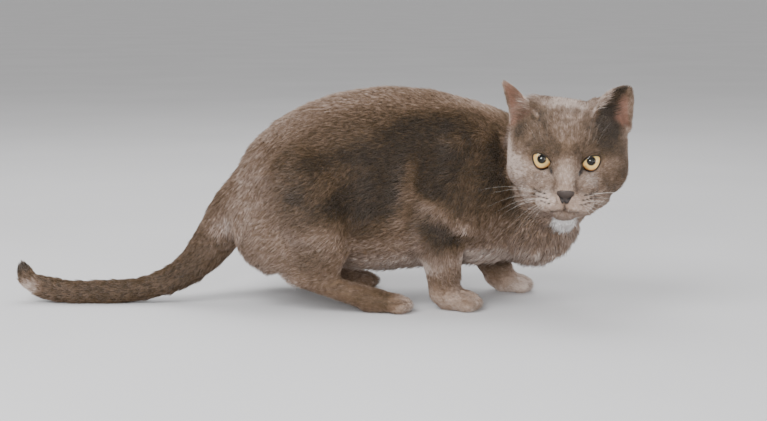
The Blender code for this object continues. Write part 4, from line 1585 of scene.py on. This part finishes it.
def makeLidRims():  # the dark bare edge of the lids, drawn out into the inner corner
    parts = []
    for side in (-1, 1):
        line = rounded(lidLine, 5, closed=True) * (side, 1)
        depth, _ = onLidBall(line, side, lidRadius - lidRim["sunk"])
        points = fromHead(np.column_stack([line[:, 0], depth, line[:, 1]]))
        away = np.linalg.norm(line * (side, 1) - lidRim["corner"], axis=1)
        thick = lidRim["radius"] + lidRim["cornerMore"] * hump(away, lidRim["cornerWidth"])
        parts.append(tube(points, thick * mm, lidRim["sides"], closed=True))
        line, widths = skin["corner"][side]
        wedge = [onSkin(x, z) for x, z in line]
        parts.append(tube(fromHead(wedge), np.array(widths) * mm, lidRim["sides"]))
    piece = joined(parts, "lid_rims")
    piece.data.materials.append(lidSkin)
    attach(piece, "root")


makeLidRims()
print("lid rims made")

# the nose leather, from the CAD node, with its nostrils and the groove between them, both with
# painted shade in them
nose = {
    "voxel": 0.42,
    "relax": 8,
    "grow": 0.45,
    "nostril": [(2.3, -30.6), (3.3, -29.5), (4.4, -28.7), (5.2, -28.6)],
    "nostrilWidth": 1.05,
    "nostrilDepth": 0.45,
    "groove": [(0, -28.4), (0, -36.0)],
    "grooveWidth": 0.5,
    "grooveDepth": 0.4,
    "grooveDark": 0.4,
    "point": 1.2,  # how far it is drawn down towards the lip
    "pointDark": 0.9,
    "pointDown": (-29, -33),  # where each starts and is whole
    "darkDown": (-30, -34),
    "nostrilFront": (-27, -29.5),
}


def makeNose():
    bm = bmesh.new()
    bm.from_mesh(frame["nodes"]["nose"].data)
    bmesh.ops.remove_doubles(bm, verts=bm.verts, dist=1e-6)
    piece = objectFrom(bm, "nose_leather")
    applied(piece, "REMESH", mode="VOXEL", voxel_size=nose["voxel"] * mm)
    mesh = piece.data
    places = relax(mesh, vertexPlaces(mesh), np.ones(len(mesh.vertices)), nose["relax"])
    local = toHead(places)
    local[:, 2] -= nose["point"] * fade(local[:, 2], *nose["pointDown"])
    places = fromHead(local)
    movePlaces(mesh, places)
    normals = vertexNormals(mesh)
    flat = local[:, (0, 2)]
    hole = np.zeros(len(places))
    for side in (-1, 1):
        gap, _ = nearPath(flat, rounded(nose["nostril"], 4) * (side, 1))
        hole = np.maximum(hole, hump(gap, nose["nostrilWidth"]))
    hole *= fade(local[:, 1], *nose["nostrilFront"])
    gap, _ = nearPath(flat, np.array(nose["groove"], float))
    groove = hump(gap, nose["grooveWidth"])
    shift = nose["grow"] - nose["nostrilDepth"] * hole - nose["grooveDepth"] * groove
    movePlaces(mesh, places + normals * (shift * mm)[:, None])
    # painted shade in the nostrils and the groove, and darker towards the point
    low = nose["pointDark"] * fade(local[:, 2], *nose["darkDown"])
    dark = np.maximum(hole, low) + nose["grooveDark"] * groove
    saveAttribute(mesh, "hole", np.clip(dark, 0, 1))
    smoothShaded(piece)
    mesh.materials.append(noseLeather)
    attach(piece, "root")
    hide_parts("nose")


makeNose()
print("nose made")

# whiskers: where each leaves the pad or brow, (x, z), and where it ends, in the head's frame
whiskers = {
    "pad": [((20.0, -26.0), (68, -8, -29)), ((17.0, -27.6), (56, -16, -27)),
            ((21.5, -29.0), (60, -10, -38)), ((18.5, -30.6), (54, -18, -42)),
            ((15.5, -31.4), (44, -28, -38)), ((20.5, -32.6), (52, -8, -49)),
            ((17.0, -33.6), (44, -14, -55)), ((13.5, -34.4), (34, -24, -54)),
            ((19.0, -35.6), (37, -6, -64)), ((15.5, -36.2), (30, -12, -63))],
    "brow": [((16.0, 11.0), (20, -16, 40)), ((19.5, 11.5), (30, -14, 38)),
             ((22.5, 11.0), (38, -8, 32))],
    "padRadius": 0.085,
    "browRadius": 0.035,
    "points": 12,
    "sunk": 0.6,
    "stray": 1.6,
    "bow": 5,  # of the pad's whiskers, forwards
    "droop": 3.5,
    "taper": 0.82,
    "sides": 6,
}


def makeWhiskers():
    rng = np.random.default_rng(20)
    parts = []
    for kind in ("pad", "brow"):
        for (x, z), end in whiskers[kind]:
            for side in (-1, 1):
                start = onSkin(side * x, z) + (0, whiskers["sunk"], 0)
                stray = rng.normal(0, whiskers["stray"], 3)
                finish = np.array(end, float) * (side, 1, 1) + stray
                steps = np.linspace(0, 1, whiskers["points"])
                line = start + (finish - start) * steps[:, None]
                curve = np.sin(steps * math.pi)
                line[:, 1] -= whiskers["bow"] * curve * (kind == "pad")
                line[:, 2] += whiskers["droop"] * curve
                radii = whiskers[kind + "Radius"] * (1 - whiskers["taper"] * steps) * mm
                parts.append(tube(fromHead(line), radii, whiskers["sides"]))
    piece = joined(parts, "whiskers")
    material, tree, shader = newMaterial("whisker", {
        "Roughness": 0.35, "Specular IOR Level": 0.5})
    cloudyColour(tree, shader, 40.0, [(0.3, linear(186, 176, 166)), (0.7, linear(226, 219, 211))])
    piece.data.materials.append(material)
    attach(piece, "root")


makeWhiskers()
print("whiskers made")

# the lights: where each stands, in metres, its size, its power and its spread in degrees
lights = {
    "key": {"at": (-0.8, -1.0, 1.3), "size": 1.0, "power": 25, "spread": 180},
    "top": {"at": (-0.1, 0.7, 1.5), "size": 1.4, "power": 15, "spread": 180},
    "fill": {"at": (0.5, -1.6, 0.14), "size": 1.2, "power": 3.6, "spread": 136},
    # as a pale floor would give
    "low": {"at": (0.75, -0.75, 0.03), "size": 0.6, "power": 2.7, "spread": 136},
    # the eyes' bright spots
    "catch": {"at": (-0.14, -1.48, 0.44), "size": 0.32, "power": 12, "spread": 180},
}


room = {
    "floorReach": 40,
    "aim": (0.05, 0, 0.08),  # where every light points
    "sky": (1.0, 0.99, 0.98, 1),
    "skyStrength": 0.6,
}


def setStage():
    bm = bmesh.new()
    bmesh.ops.create_grid(bm, x_segments=2, y_segments=2, size=room["floorReach"])
    floor = objectFrom(bm, "floor")
    material, tree, shader = newMaterial("pale floor", {"Roughness": 0.9})
    cloudyColour(tree, shader, 3.0, [(0.2, linear(214, 214, 216)), (0.8, linear(222, 222, 224))])
    floor.data.materials.append(material)
    aim = Vector(room["aim"])
    for name, light in lights.items():
        data = bpy.data.lights.new(name, "AREA")
        data.size = light["size"]
        data.energy = light["power"]
        data.spread = math.radians(light["spread"])  # narrow where it would cut the floor
        lamp = placed(name, data)
        lamp.location = light["at"]
        lamp.rotation_euler = (lamp.location - aim).to_track_quat("Z", "Y").to_euler()
    world = bpy.data.worlds.new("room")
    world.use_nodes = True
    sky = world.node_tree.nodes["Background"]
    sky.inputs["Color"].default_value = room["sky"]
    sky.inputs["Strength"].default_value = room["skyStrength"]
    bpy.context.scene.world = world


setStage()
print("stage set")
